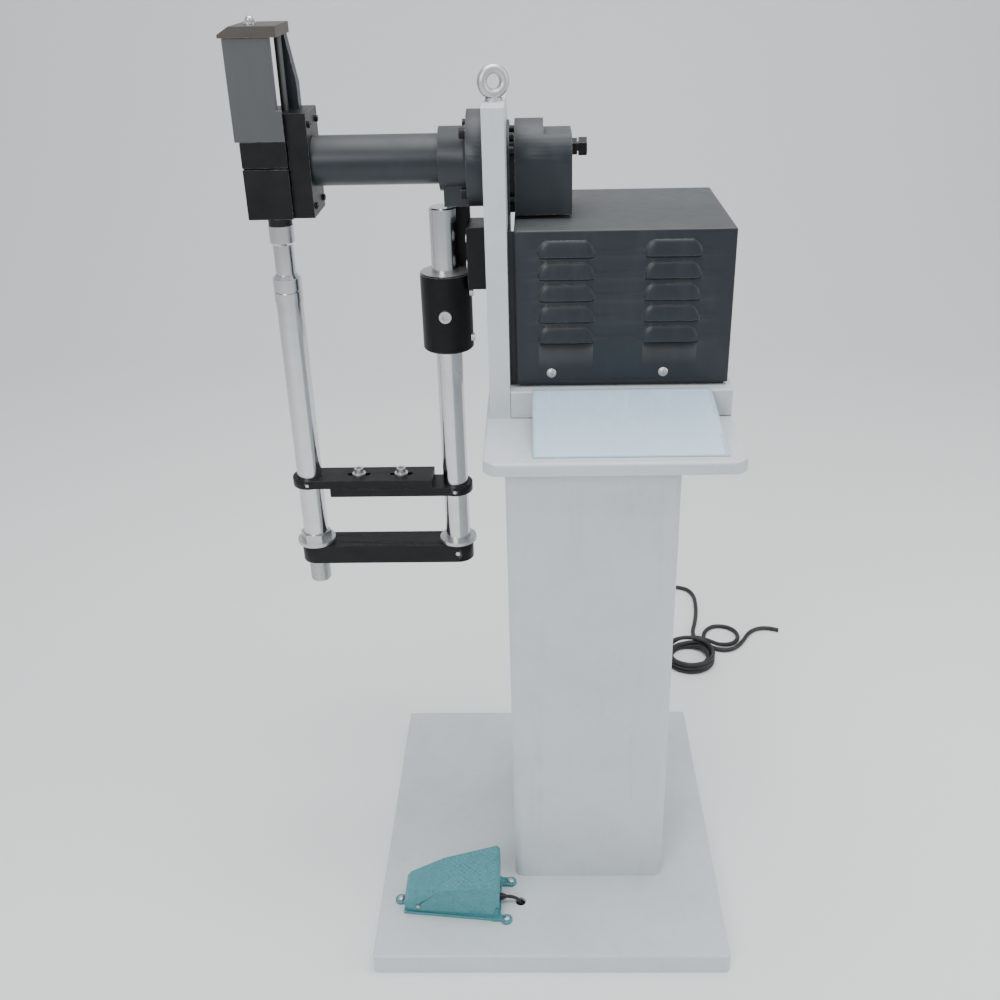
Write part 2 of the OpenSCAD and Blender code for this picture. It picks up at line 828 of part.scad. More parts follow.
module head_block() {
    color("#222426") difference() {
        translate([head_l, head_front, head_bottom]) cube([head_w, head_d, head_drop + head_rise]);
        // crank and yoke cavity, open to the front plates
        translate([cavity_l, head_front - 1, cavity_low])
            cube([cavity_r - cavity_l, arm_y - head_front + cavity_w / 2 + 1, cavity_high - cavity_low]);
        // guide for the ram's blade
        translate([ram_l - gap, arm_y - ram_w / 2 - gap, head_bottom - 1])
            cube([ram_t + 2 * gap, ram_w + 2 * gap, cavity_low - head_bottom + 2]);
        translate([ram_x, arm_y, cavity_high - 1]) cylinder(d = stem_d + 2 * gap, h = 200);
        on_arm() {
            bar_x(arm_d, head_r - arm_socket, head_r + 1);
            bar_x(bearing_d, bearing_front, head_r);
            bar_x(shaft_d + 6, cavity_r - 1, head_r);
        }
        head_screw_places() bar_x(6, head_r - 14, head_r + 1);
    }
}

module head_screw_places() {
    for (y = [-1, 1], z = [head_rise - 18, -head_drop + 16])
        translate([0, arm_y + y * (head_d / 2 - 14), arm_z + z]) children();
}

// upper and lower plate over the front of the cavity
module front_plates() {
    seam = arm_z - 2;
    cover_low = arm_z + 38;
    w = 70;
    color("#1c1d1f") {
        translate([head_l, head_front - plate_t, head_bottom])
            cube([w, plate_t, seam - 1 - head_bottom]);
        translate([head_l, head_front - plate_t, seam + 1])
            cube([w, plate_t, cover_low - seam - 1.5]);
    }
}

// folded sheet cover of the tower, with a wider foot over the head block
module tower_cover() {
    low = arm_z + 38;
    high = head_top + tower_h;
    skin = 2;
    front = head_front - plate_t - 3;
    left = head_l - 6;
    right = head_l + 62;
    back = arm_y + 30;
    color("#7c8082") {
        translate([left, front, low]) cube([right - left, skin, high - low]);
        translate([left, front, low]) cube([skin, back - front, high - low]);
        translate([right - skin, front, head_top + 0.5]) cube([skin, 14, high - head_top - 0.5]);
        translate([left, front, low]) cube([right - left + 8, skin, head_top + 6 - low]);
    }
}

module tower_cap() {
    t = 16;
    bevel = [18, 11];
    left = head_l - 11;
    right = head_r - 28;
    front = head_front - plate_t - 7;
    color("#4a4744") difference() {
        translate([0, arm_y + 38, head_top + tower_h]) rotate([90, 0, 0])
            linear_extrude(arm_y + 38 - front) polygon([
                [left, 0], [right, 0], [right, t], [left + bevel[0], t], [left, t - bevel[1]]]);
        translate([stud_x, stud_y, head_top]) cylinder(d = 8, h = tower_h + 40);
    }
}

// dome nut on the stud that holds the tower's cap
module dome_nut() {
    top = head_top + tower_h + 16;
    color("silver") {
        translate([stud_x, stud_y, head_top]) cylinder(d = 8, h = tower_h + 17);
        translate([stud_x, stud_y, top]) {
            cylinder(d = 19, h = 2);
            translate([0, 0, 2 - TRIM]) hex_bar(13, 5);
            translate([0, 0, 6]) intersection() {
                sphere(d = 13);
                cylinder(d = 14, h = 8);
            }
        }
    }
}

module guide_rod() {
    color("silver") translate([head_r - 37, arm_y - 8, head_top]) cylinder(d = 11, h = tower_h);
}

// dark plate behind the guide rod
module rear_guard() {
    color("#2a2b2d") translate([0, arm_y + 36, head_top]) rotate([90, 0, 0])
        linear_extrude(22) polygon([
            [head_r - 44, 0], [head_r - 20, 0], [head_r - 20, 36],
            [head_r - 32, tower_h], [head_r - 44, tower_h]]);
}

module ram() {
    tip = head_bottom + stroke - 5 + 12;
    color("silver") {
        difference() {
            translate([ram_l, arm_y - yoke_w / 2, yoke_z - yoke_h / 2])
                cube([ram_t, yoke_w, yoke_h]);
            translate([ram_l - 1, arm_y - yoke_w / 2 + 8, yoke_z - pin_slot / 2])
                cube([ram_t + 2, yoke_w - 16, pin_slot]);
        }
        translate([ram_l, arm_y - ram_w / 2, tip]) cube([ram_t, ram_w, yoke_z - yoke_h / 2 - tip + 1]);
        translate([ram_x, arm_y, yoke_z + yoke_h / 2 - 1])
            cylinder(d = stem_d, h = stem_top - yoke_z - yoke_h / 2 + 1);
        translate([ram_x, arm_y, stem_top - collar_t]) cylinder(d = collar_d, h = collar_t);
    }
}

// replaceable hardened tip of the ram
module driver_tip() {
    tip = head_bottom + stroke - 5;
    color("gray") translate([ram_l + 2, arm_y - ram_w / 2 + 2, tip]) cube([ram_t - 4, ram_w - 4, 12]);
}

module return_spring() {
    wire = 2.5;
    r = stem_d / 2 + 3.5;
    color("silver") translate([ram_x, arm_y, 0])
        tube(helix(r, head_top + wire / 2 + 0.3, stem_top - collar_t - wire / 2 - 0.3, 7, 12), wire, 8);
}

module head_screws() {
    color("black") head_screw_places() translate([head_r, 0, 0]) rotate([0, 90, 0])
        cap_screw(6, 10, 4, 12);
}

// ---------- clamp ----------

module bracket_bolt_places() {
    for (z = [bracket_high - 20, clamp_top + 14])
        translate([0, bracket_front + 15, z]) children();
}

module clamp_bracket() {
    plate_l = support_x + rod_d / 2 - 6;
    plate_front = arm_y + rod_d / 2 + 3;
    color("#1d1e20") difference() {
        union() {
            // lug against the post
            translate([lug_l, bracket_front, bracket_low])
                cube([post_l - lug_l, bracket_deep, bracket_high - bracket_low]);
            // upright plate behind the rod, up to the pad under the hub
            translate([plate_l, plate_front, bracket_low])
                cube([lug_l - plate_l + 4, 14, arm_z - hub_d / 2 - pad_drop - bracket_low]);
        }
        translate([support_x, arm_y, bracket_low - 1])
            cylinder(d = clamp_d, h = clamp_top - bracket_low + 1);
        bracket_bolt_places() {
            bar_x(bolt_d, lug_l - 1, post_l + 1);
            bar_x(bolt_head_d + 2, lug_l - 1, lug_l + 6);
        }
    }
}

module clamp_holder() {
    edge = 2;
    color("#26282a") difference() {
        translate([support_x, arm_y, clamp_bottom]) {
            translate([0, 0, edge]) cylinder(d = clamp_d, h = clamp_h - 2 * edge);
            cylinder(d = clamp_d - 2 * edge, h = clamp_h);
        }
        translate([support_x, arm_y, clamp_bottom - 1])
            cylinder(d = rod_d + 2 * run_fit, h = clamp_h + 2);
        translate([support_x, arm_y, clamp_bottom + clamp_h / 2]) rotate([90, 0, 0]) {
            cylinder(d = 12, h = clamp_d);
            translate([0, 0, clamp_d / 2 - 1]) cylinder(d = 20.5, h = 10);
        }
        pinch_places() {
            bar_x(8, 0, clamp_d);
            bar_x(13.5, clamp_d / 2 - 3, clamp_d);
        }
    }
}

module pinch_places() {
    for (z = [clamp_top - 33, clamp_bottom + 20]) translate([support_x, arm_y - 12, z]) children();
}

// pinch screws of the clamp holder, and the screws of its bracket
module clamp_screws() {
    inner = rod_d / 2 + 0.5;
    color("dimgray") {
        translate([support_x, arm_y - clamp_d / 2 + 1, clamp_bottom + clamp_h / 2]) rotate([90, 0, 0])
            cap_screw(12, 20, 6, clamp_d / 2 - 1 - inner);
        pinch_places() translate([clamp_d / 2 - 3, 0, 0]) rotate([0, 90, 0])
            cap_screw(8, 13, 6, clamp_d / 2 - 3 - inner);
        bracket_bolt_places() translate([lug_l + 6, 0, 0]) rotate([0, -90, 0])
            cap_screw(bolt_d, bolt_head_d, 8, post_l + 18 - lug_l);
    }
}

module support_rod() {
    low = bar_top - bar_t;
    top = bar_top + support_h;
    edge = 2;
    color("lightgray") translate([support_x, arm_y, 0]) {
        translate([0, 0, low]) cylinder(d = rod_d, h = top - low - edge);
        translate([0, 0, top - edge]) cylinder(d1 = rod_d, d2 = rod_d - 2 * edge, h = edge);
    }
}

// ---------- post anvil ----------

module lower_bar() {
    color("#1d1e20") difference() {
        translate([0, arm_y, bar_top - bar_t]) linear_extrude(bar_t) {
            translate([anvil_x, -bar_w / 2]) square([support_x - anvil_x, bar_w]);
            for (x = [anvil_x, support_x]) translate([x, 0]) circle(d = bar_w);
        }
        translate([anvil_x, arm_y, bar_top - bar_t - 1]) cylinder(d = stub_d, h = bar_t + 2);
        translate([support_x, arm_y, bar_top - bar_t - 1]) cylinder(d = rod_d, h = bar_t + 2);
        translate([support_x, arm_y, bar_top - bar_t / 2]) rotate([90, 0, 0]) cylinder(d = 8, h = bar_w);
    }
}

// upper link bar, clamped on the anvil rod, with two slots
module link_bar_left() {
    right = support_x - rod_d / 2 - 17;
    color("#1d1e20") difference() {
        translate([0, arm_y, link_z]) linear_extrude(link_t) {
            translate([anvil_x, -link_w / 2]) square([right - anvil_x, link_w]);
            translate([anvil_x, 0]) circle(d = link_w + 4);
        }
        translate([anvil_x, arm_y, link_z - 1]) cylinder(d = rod_d, h = link_t + 2);
        for (x = link_bolt_x) translate([x, arm_y, link_z - 1]) linear_extrude(link_t + 2) {
            square([slot_l - link_bolt_d, link_bolt_d + 1], center = true);
            for (s = [-1, 1]) translate([s * (slot_l - link_bolt_d) / 2, 0]) circle(d = link_bolt_d + 1);
        }
        link_set_places(anvil_x) cylinder(d = 6, h = link_w);
    }
}

// lower link bar, clamped on the support rod
module link_bar_right() {
    left = anvil_x + rod_d / 2 + 17;
    color("#1d1e20") difference() {
        translate([0, arm_y, link_z - link_t]) linear_extrude(link_t) {
            translate([left, -link_w / 2]) square([support_x - left, link_w]);
            translate([support_x, 0]) circle(d = link_w + 4);
        }
        translate([support_x, arm_y, link_z - link_t - 1]) cylinder(d = rod_d, h = link_t + 2);
        for (x = link_bolt_x) translate([x, arm_y, link_z - link_t - 1])
            cylinder(d = link_bolt_d, h = link_t + 2);
        translate([0, 0, -link_t]) link_set_places(support_x) cylinder(d = 6, h = link_w);
    }
}

module link_set_places(x) {
    translate([x, arm_y, link_z + link_t / 2]) rotate([90, 0, 0]) children();
}

// bolts and washers of the link, and the set screws of the three bars
module link_screws() {
    color("silver") {
        for (x = link_bolt_x) translate([x, arm_y, link_z + link_t]) {
            difference() {
                cylinder(d = 24, h = 2.5);
                translate([0, 0, -1]) cylinder(d = link_bolt_d, h = 5);
            }
            translate([0, 0, 2.5]) cap_screw(link_bolt_d, bolt_head_d, 9, 2 * link_t + 2.5);
        }
        for (place = [[anvil_x, 0, link_w + 4], [support_x, -link_t, link_w + 4]])
            translate([0, 0, place[1]]) link_set_places(place[0])
                translate([0, 0, rod_d / 2 + TRIM]) cylinder(d = 6, h = (place[2] - rod_d) / 2 + 1);
        translate([support_x, arm_y, bar_top - bar_t / 2]) rotate([90, 0, 0])
            translate([0, 0, rod_d / 2 + TRIM]) cylinder(d = 8, h = (bar_w - rod_d) / 2 + 1);
    }
}

module anvil_rod() {
    low = bar_top - bar_t - 46;
    band = 16;
    color("lightgray") difference() {
        translate([anvil_x, arm_y, 0]) {
            translate([0, 0, low]) cylinder(d1 = stub_d - 4, d2 = stub_d, h = 2);
            translate([0, 0, low + 2]) cylinder(d = stub_d, h = nut_top - low - 1);
            translate([0, 0, nut_top]) cylinder(d = rod_d, h = rod_top - 4 - band - nut_top);
            translate([0, 0, rod_top - 4 - band]) cylinder(d = ring_d, h = band);
            translate([0, 0, rod_top - 5]) cylinder(d = rod_d - 2, h = 5);
        }
        translate([anvil_x, arm_y, neck_low - fine - 2])
            cylinder(d = neck_d + 0.2, h = rod_top - neck_low + fine + 3);
    }
}

// hex nut and washer on the anvil rod, and the collar on the support rod
module rod_nut() {
    flats = stub_d + 12;
    color("silver") {
        translate([anvil_x, arm_y, bar_top]) difference() {
            cylinder(d = rod_d + 24, h = washer_t);
            translate([0, 0, -1]) cylinder(d = stub_d, h = washer_t + 2);
        }
        translate([anvil_x, arm_y, bar_top + washer_t]) difference() {
            hex_bar(flats, nut_top - bar_top - washer_t);
            translate([0, 0, -1]) cylinder(d = stub_d, h = 30);
        }
        translate([support_x, arm_y, bar_top]) difference() {
            cylinder(d = rod_d + 22, h = washer_t);
            translate([0, 0, -1]) cylinder(d = rod_d, h = washer_t + 2);
        }
    }
}

// turned to raise or lower the anvil head a little
module adjusting_ring() {
    cone = 6;
    color("lightgray") difference() {
        translate([anvil_x, arm_y, ring_low]) {
            cylinder(d = ring_d, h = ring_top - cone - ring_low);
            translate([0, 0, ring_top - cone - ring_low])
                cylinder(d1 = ring_d - 3, d2 = neck_d + 3, h = cone);
        }
        translate([anvil_x, arm_y, ring_low - 1]) cylinder(d = neck_d + 0.2, h = 30);
    }
}

module anvil_head() {
    head_low = anvil_top - pad_t - anvil_head_h;
    color("lightgray") translate([anvil_x, arm_y, 0]) {
        translate([0, 0, neck_low]) cylinder(d = neck_d, h = head_low - neck_low + 1);
        translate([0, 0, head_low]) cylinder(d1 = neck_d, d2 = anvil_head_d, h = 4);
        translate([0, 0, head_low + 4]) cylinder(d = anvil_head_d, h = anvil_head_h - 4);
    }
}

// hardened pad that the fastener closes against
module anvil_pad() {
    color("#202020") translate([anvil_x, arm_y, anvil_top - pad_t]) difference() {
        cylinder(d = pad_d, h = pad_t);
        translate([-6, -9, pad_t - 1.5]) cube([12, 18, 3]);
    }
}

// ---------- foot switch ----------

// outline of the foot switch, drawn in by the given inset
module foot_outline(inset) {
    polygon([
        [toe_x + inset, foot_y - toe_w / 2 + inset], [foot_x - inset, foot_y - heel_w / 2 + inset],
        [foot_x - inset, foot_y + heel_w / 2 - inset], [toe_x + inset, foot_y + toe_w / 2 - inset]]);
}

module foot_screw_places() {
    for (p = [[toe_x - 8, foot_y - 2], [foot_x + 10, foot_y - heel_w / 2 + 3],
              [foot_x + 16, foot_y + heel_w / 2 - 12]])
        translate([p[0], p[1], foot_z]) children();
}

module foot_base() {
    side = treadle_wall + 2;
    wall_h = 22;
    color("cadetblue") difference() {
        union() {
            translate([0, 0, foot_z]) linear_extrude(foot_flange) foot_outline(0);
            foot_screw_places() cylinder(d = 20, h = foot_flange);
            translate([toe_x - 8, foot_y - 11, foot_z]) cube([20, 18, foot_flange]);
            translate([foot_x - 14, foot_y - heel_w / 2, foot_z]) cube([24, 12, foot_flange]);
            translate([foot_x - 10, foot_y + heel_w / 2 - 21, foot_z]) cube([26, 18, foot_flange]);
            translate([0, 0, foot_z]) linear_extrude(foot_flange + wall_h) difference() {
                foot_outline(side);
                foot_outline(side + 4);
            }
            // cheeks that carry the pivot
            for (s = [-1, 1]) translate([pivot_x - 9, foot_y + s * 17 - 2.5, foot_z])
                cube([18, 5, pivot_z - foot_z + 7]);
        }
        foot_screw_places() translate([0, 0, -1]) cylinder(d = 5, h = 12);
        translate([pivot_x, foot_y, pivot_z]) rotate([90, 0, 0])
            cylinder(d = pivot_d, h = 60, center = true);
        // hole of the lead's gland
        translate([foot_x - 20, foot_y - 6, foot_z + 14]) rotate([0, 90, 0])
            cylinder(d = 12, h = 40);
    }
}

module treadle() {
    top = [[toe_x + 2, foot_z + 28], [toe_x + 8, foot_z + 36], [foot_x - 102, foot_z + 62],
           [foot_x - 7, foot_z + heel_h], [foot_x - 2, foot_z + heel_h - 8]];
    bottom = [[foot_x - 2, foot_z + 34], [foot_x - 8, foot_z + 32], [foot_x - 14, foot_z + 16],
              [pivot_x + 10, foot_z + 11],
              [toe_x + 2, foot_z + 13]];
    color("cadetblue") {
        difference() {
            intersection() {
                translate([0, foot_y, 0]) rotate([90, 0, 0])
                    linear_extrude(2 * heel_w, center = true) polygon(concat(top, bottom));
                linear_extrude(400) foot_outline(1);
            }
            // inside, below the top skin
            intersection() {
                translate([0, foot_y, -treadle_wall]) rotate([90, 0, 0])
                    linear_extrude(2 * heel_w, center = true)
                        polygon(concat(top, [[foot_x - 2, 0], [toe_x + 2, 0]]));
                linear_extrude(400) foot_outline(1 + treadle_wall);
            }
            translate([pivot_x, foot_y, pivot_z]) rotate([90, 0, 0])
                cylinder(d = pivot_d + 2 * run_fit, h = 2 * heel_w, center = true);
        }
        // boss that presses the switch
        translate([plunger_x - 5, foot_y - 5, plunger_z + 0.4])
            cube([10, 10, foot_z + 62 - plunger_z - 0.4]);
    }
}

module treadle_pin() {
    color("silver") translate([pivot_x, foot_y, pivot_z]) rotate([90, 0, 0])
        cylinder(d = pivot_d, h = 72, center = true);
}

module treadle_spring() {
    wire = 1.8;
    color("silver") translate([foot_x - 38, foot_y, 0])
        tube(helix(7, foot_z + foot_flange + wire / 2 + 0.2, foot_z + heel_h - 14, 6, 12), wire, 8);
}

module micro_switch() {
    color("#333333") difference() {
        translate([plunger_x - 14, foot_y - 7, foot_z + foot_flange])
            cube([28, 14, plunger_z - 8 - foot_z - foot_flange]);
        translate([plunger_x, foot_y, foot_z + foot_flange + 8])
            cylinder(d = plunger_d + 2 * run_fit, h = 60);
    }
}

module switch_plunger() {
    color("crimson") translate([plunger_x, foot_y, foot_z + foot_flange + 14])
        cylinder(d = plunger_d, h = plunger_z - foot_z - foot_flange - 14);
}

module foot_gland() {
    color("#1a1a1a") difference() {
        translate([0, foot_y - 6, foot_z + 14]) {
            bar_x(12, foot_x - 14, foot_x + 4);
            bar_x(9, foot_x + 3, foot_x + 8);
        }
        translate([0, foot_y - 6, foot_z + 14]) bar_x(foot_lead_d, foot_x - 15, foot_x + 9);
    }
}

module foot_screws() {
    color("silver") foot_screw_places() {
        translate([0, 0, foot_flange]) intersection() {
            cylinder(d = 11, h = 4);
            translate([0, 0, -4]) sphere(r = 8);
        }
        translate([0, 0, -14]) cylinder(d = 5, h = foot_flange + 14.5);
    }
}

// ---------- mains lead ----------

module cord_gland() {
    color("#1a1a1a") translate([exit_x, exit_y, exit_z]) rotate([-90, 0, 0]) difference() {
        union() {
            translate([0, 0, -column_wall - 8]) cylinder(d = 20, h = column_wall + 8.01);
            cylinder(d = 30, h = 8);
            translate([0, 0, 8]) cylinder(d1 = 22, d2 = cord_d + 3, h = 22);
        }
        translate([0, 0, -column_wall - 9]) cylinder(d = cord_d, h = 60);
    }
}

// the run to the coil, and the free end that leaves it
module cord_run() {
    color("#151515") {
        tube(curve(cord_run_points, 2), cord_d);
        tube(curve(cord_tail_points, 2), cord_d);
    }
}

// the outer shape of the coiled turns
module cord_coil() {
    color("#151515") translate([coil_at[0], coil_at[1], 0]) rotate_extrude()
        translate([coil_r - coil_wide / 2, 0]) square([coil_wide, coil_high]);
}

base_plate();
column();
table_top();
frame_base();
frame_post();
eye_bolt();
motor_cover();
cover_screws();
table_sheet();
arm_flange();
arm_tube();
flange_bolts();
gear_housing();
stop_screw();
crank_bearings();
motor_frame();
motor_rotor();
motor_pulley();
drive_belt();
drive_wheel();
clutch_coil();
clutch_plate();
crankshaft();
crank_roller();
inner_leads();
head_block();
front_plates();
tower_cover();
tower_cap();
dome_nut();
guide_rod();
rear_guard();
ram();
driver_tip();
return_spring();
head_screws();
clamp_bracket();
clamp_holder();
clamp_screws();
support_rod();
lower_bar();
link_bar_left();
link_bar_right();
link_screws();
anvil_rod();
rod_nut();
adjusting_ring();
anvil_head();
anvil_pad();
foot_base();
treadle();
treadle_pin();
treadle_spring();
micro_switch();
switch_plunger();
foot_gland();
foot_screws();
cord_gland();
cord_run();
cord_coil();
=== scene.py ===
"""Looks of the post-anvil press: cord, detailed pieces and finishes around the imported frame."""

import math

import bmesh
import bpy
from mathutils import Matrix, Vector


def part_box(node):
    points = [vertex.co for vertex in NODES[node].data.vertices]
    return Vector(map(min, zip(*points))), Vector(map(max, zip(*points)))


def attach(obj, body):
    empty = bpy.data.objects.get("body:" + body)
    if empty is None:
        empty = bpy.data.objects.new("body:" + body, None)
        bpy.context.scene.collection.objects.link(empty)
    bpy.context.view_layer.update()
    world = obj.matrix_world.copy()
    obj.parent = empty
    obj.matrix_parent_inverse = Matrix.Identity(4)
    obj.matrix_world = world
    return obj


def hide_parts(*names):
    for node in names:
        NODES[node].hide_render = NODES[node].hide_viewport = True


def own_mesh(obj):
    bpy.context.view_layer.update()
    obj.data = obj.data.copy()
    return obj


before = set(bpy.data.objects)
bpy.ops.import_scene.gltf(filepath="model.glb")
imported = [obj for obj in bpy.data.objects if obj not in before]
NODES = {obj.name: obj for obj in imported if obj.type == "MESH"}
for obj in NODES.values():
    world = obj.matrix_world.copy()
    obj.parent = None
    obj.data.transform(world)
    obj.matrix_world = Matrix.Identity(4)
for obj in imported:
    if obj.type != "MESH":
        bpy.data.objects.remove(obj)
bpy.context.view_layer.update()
MM = 0.001


# ---------- camera ----------

def make_camera():
    """A standing person's view from the front, looking down at the machine."""
    yaw, pitch, roll = math.radians(1.443), math.radians(26.225), math.radians(-1.27)
    up = Vector((0, 0, 1))
    level = Vector((-math.sin(yaw), math.cos(yaw), 0))
    across = Vector((math.cos(yaw), math.sin(yaw), 0))
    forward = level * math.cos(pitch) - up * math.sin(pitch)
    top = level * math.sin(pitch) + up * math.cos(pitch)
    right = across * math.cos(roll) + top * math.sin(roll)
    top = top * math.cos(roll) - across * math.sin(roll)
    camera = bpy.data.objects.new("camera", bpy.data.cameras.new("camera"))
    bpy.context.scene.collection.objects.link(camera)
    turn = Matrix((right, top, -forward)).transposed().to_4x4()
    camera.matrix_world = Matrix.Translation((-0.0102, -1.5691, 1.569)) @ turn
    camera.data.lens = 38.74
    camera.data.sensor_width = 36
    camera.data.shift_x = -0.0153
    camera.data.shift_y = -0.0333
    camera.data.clip_end = 50
    bpy.context.scene.camera = camera


make_camera()


# ---------- mesh helpers ----------

def new_piece(name, mesh, body, smooth=True):
    """Adds a mesh as a piece that rides on a body."""
    piece = bpy.data.objects.new(name, mesh)
    bpy.context.scene.collection.objects.link(piece)
    if smooth:
        mesh.polygons.foreach_set("use_smooth", [True] * len(mesh.polygons))
    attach(piece, body)
    return piece


def mesh_from(name, points, faces):
    mesh = bpy.data.meshes.new(name)
    mesh.from_pydata([tuple(p) for p in points], [], faces)
    mesh.update()
    return mesh


def smooth_line(points, steps):
    """A Catmull-Rom curve through the points."""
    line = []
    last = len(points) - 1
    for i in range(last):
        a, b = points[max(i - 1, 0)], points[i]
        c, d = points[i + 1], points[min(i + 2, last)]
        for s in range(steps):
            t = s / steps
            line.append(0.5 * (2 * b + (c - a) * t + (2 * a - 5 * b + 4 * c - d) * t * t
                               + (3 * b - a - 3 * c + d) * t ** 3))
    line.append(points[last])
    return line


def tube_mesh(name, line, radius, sides=12):
    """A round tube along a line, with flat ends."""
    points, faces = [], []
    last = len(line) - 1
    normal = Vector((0.1, 0.2, 1))
    for i, p in enumerate(line):
        along = (line[min(i + 1, last)] - line[max(i - 1, 0)]).normalized()
        normal = (normal - along * normal.dot(along)).normalized()
        side = along.cross(normal)
        for k in range(sides):
            a = math.tau * k / sides
            points.append(p + (normal * math.cos(a) + side * math.sin(a)) * radius)
    for i in range(last):
        for k in range(sides):
            a, b = i * sides + k, i * sides + (k + 1) % sides
            faces.append((a, b, b + sides, a + sides))
    faces.append(tuple(reversed(range(sides))))
    faces.append(tuple(last * sides + k for k in range(sides)))
    return mesh_from(name, points, faces)


# ---------- mains lead ----------

CORD_D = 0.010
RUN = [(150, 206, 92), (150, 232, 89), (151, 262, 78), (153, 292, 63), (156, 322, 50),
       (160, 350, 33), (166, 380, 16), (174, 412, 7), (186, 450, 5), (202, 505, 5),
       (222, 570, 5), (244, 640, 5), (266, 710, 5), (283, 762, 5), (293, 796, 5),
       (300, 824, 5), (312, 851, 5), (334, 866, 5), (358, 866, 5), (380, 851, 5),
       (390, 822, 5), (390, 784, 5), (385, 740, 5), (376, 698, 5), (367, 660, 5),
       (372, 624, 5), (388, 590, 5), (400, 555, 5)]
TAIL = [(345, 610, 25), (370, 610, 25), (395, 605, 20), (421, 602, 11), (448, 608, 6),
        (467, 622, 5), (475, 645, 5), (468, 669, 5), (448, 684, 5), (423, 685, 5),
        (403, 671, 5), (392, 648, 5), (392, 625, 5), (401, 602, 5), (420, 588, 5),
        (443, 586, 5), (465, 598, 5), (484, 622, 5), (501, 650, 5), (519, 668, 5),
        (539, 676, 5), (560, 675, 5), (580, 667, 5)]
COIL_AT = (345, 555)
# turns wound so far, and the radius and height there: two rings side by side, then up a layer
COIL_STEPS = [(0, 55, 5), (0.85, 55, 5), (1.0, 45, 5), (1.75, 45, 5), (1.9, 45, 15),
              (2.7, 45, 15), (2.85, 55, 15), (3.55, 55, 15), (3.7, 55, 25), (4.75, 55, 25)]


def coil_points():
    """The coil's turns, wound clockwise from above."""
    points = []
    for i in range(1, 4 * 57):
        turns = i / 48
        if turns >= 4.74:
            break
        for (t0, r0, z0), (t1, r1, z1) in zip(COIL_STEPS, COIL_STEPS[1:]):
            if t0 <= turns <= t1:
                part = (turns - t0) / (t1 - t0)
                part = part * part * (3 - 2 * part)
                r, z = r0 + (r1 - r0) * part, z0 + (z1 - z0) * part
        a = -math.tau * turns
        points.append(Vector((COIL_AT[0] + r * math.cos(a), COIL_AT[1] + r * math.sin(a), z)))
    return points


def make_cord():
    run = smooth_line([Vector(p) for p in RUN], 4)
    tail = smooth_line([Vector(p) for p in TAIL], 4)
    line = [p * MM for p in run + coil_points() + tail]
    cord = new_piece("mains_lead", tube_mesh("mains_lead", line, CORD_D / 2), "stand")
    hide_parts("cord_run", "cord_coil")
    length = sum((b - a).length for a, b in zip(line, line[1:]))
    print(f"mains lead {length:.3f} m")
    make_gland_ribs()
    return cord


def make_gland_ribs():
    """Ribs moulded around the tapered strain relief."""
    points, faces = [], []
    sides = 24
    for rib in range(5):
        y = (187 + rib * 3.8) * MM
        r = (10.9 - rib * 0.78) * MM
        for dy, dr in ((-0.0009, -0.0006), (-0.0006, 0.0006), (0.0006, 0.0006), (0.0009, -0.0006)):
            for k in range(sides):
                a = math.tau * k / sides
                points.append((0.150 + (r + dr) * math.cos(a), y + dy, 0.092 + (r + dr) * math.sin(a)))
        base = rib * 4 * sides
        for ring in range(3):
            for k in range(sides):
                a = base + ring * sides + k
                b = base + ring * sides + (k + 1) % sides
                faces.append((a, a + sides, b + sides, b))
    return new_piece("gland_ribs", mesh_from("gland_ribs", points, faces), "stand")


cord = make_cord()


# ---------- softened edges on the frame's own parts ----------

def soften(width, names):
    """Rounds the sharp edges of CAD nodes."""
    for name in names:
        node = NODES[name]
        weld = node.modifiers.new("join", "WELD")
        weld.merge_threshold = 1e-5
        bevel = node.modifiers.new("edges", "BEVEL")
        bevel.width = width * MM
        bevel.segments = 2
        bevel.limit_method = "ANGLE"
        bevel.angle_limit = math.radians(35)
        bevel.harden_normals = True
        bevel.use_clamp_overlap = True


soften(3.0, ["frame_base", "frame_post"])
soften(1.2, ["tower_cover", "tower_cap", "head_block", "front_plates"])
soften(1.0, ["lower_bar", "link_bar_left", "link_bar_right", "clamp_bracket", "gear_housing",
             "arm_flange", "foot_base", "treadle"])


# ---------- louvred motor cover ----------

LOUVRE_W, LOUVRE_H, LOUVRE_OUT = 0.086, 0.025, 0.005
LOUVRE_ROWS, LOUVRE_PITCH, LOUVRE_APART = 5, 0.0335, 0.160
COVER_FOOT = 0.006


def scoop(across, rise):
    """How far a pressed louvre stands out, at a distance from its middle and above its open lip."""
    end = min(1, (LOUVRE_W / 2 - abs(across)) / (0.2 * LOUVRE_W))
    if end <= 0:
        return 0
    side = math.sqrt(1 - (1 - end) ** 2)
    top = LOUVRE_H * side
    return LOUVRE_OUT * side * math.sqrt(1 - (rise / top) ** 2) if rise < top else 0


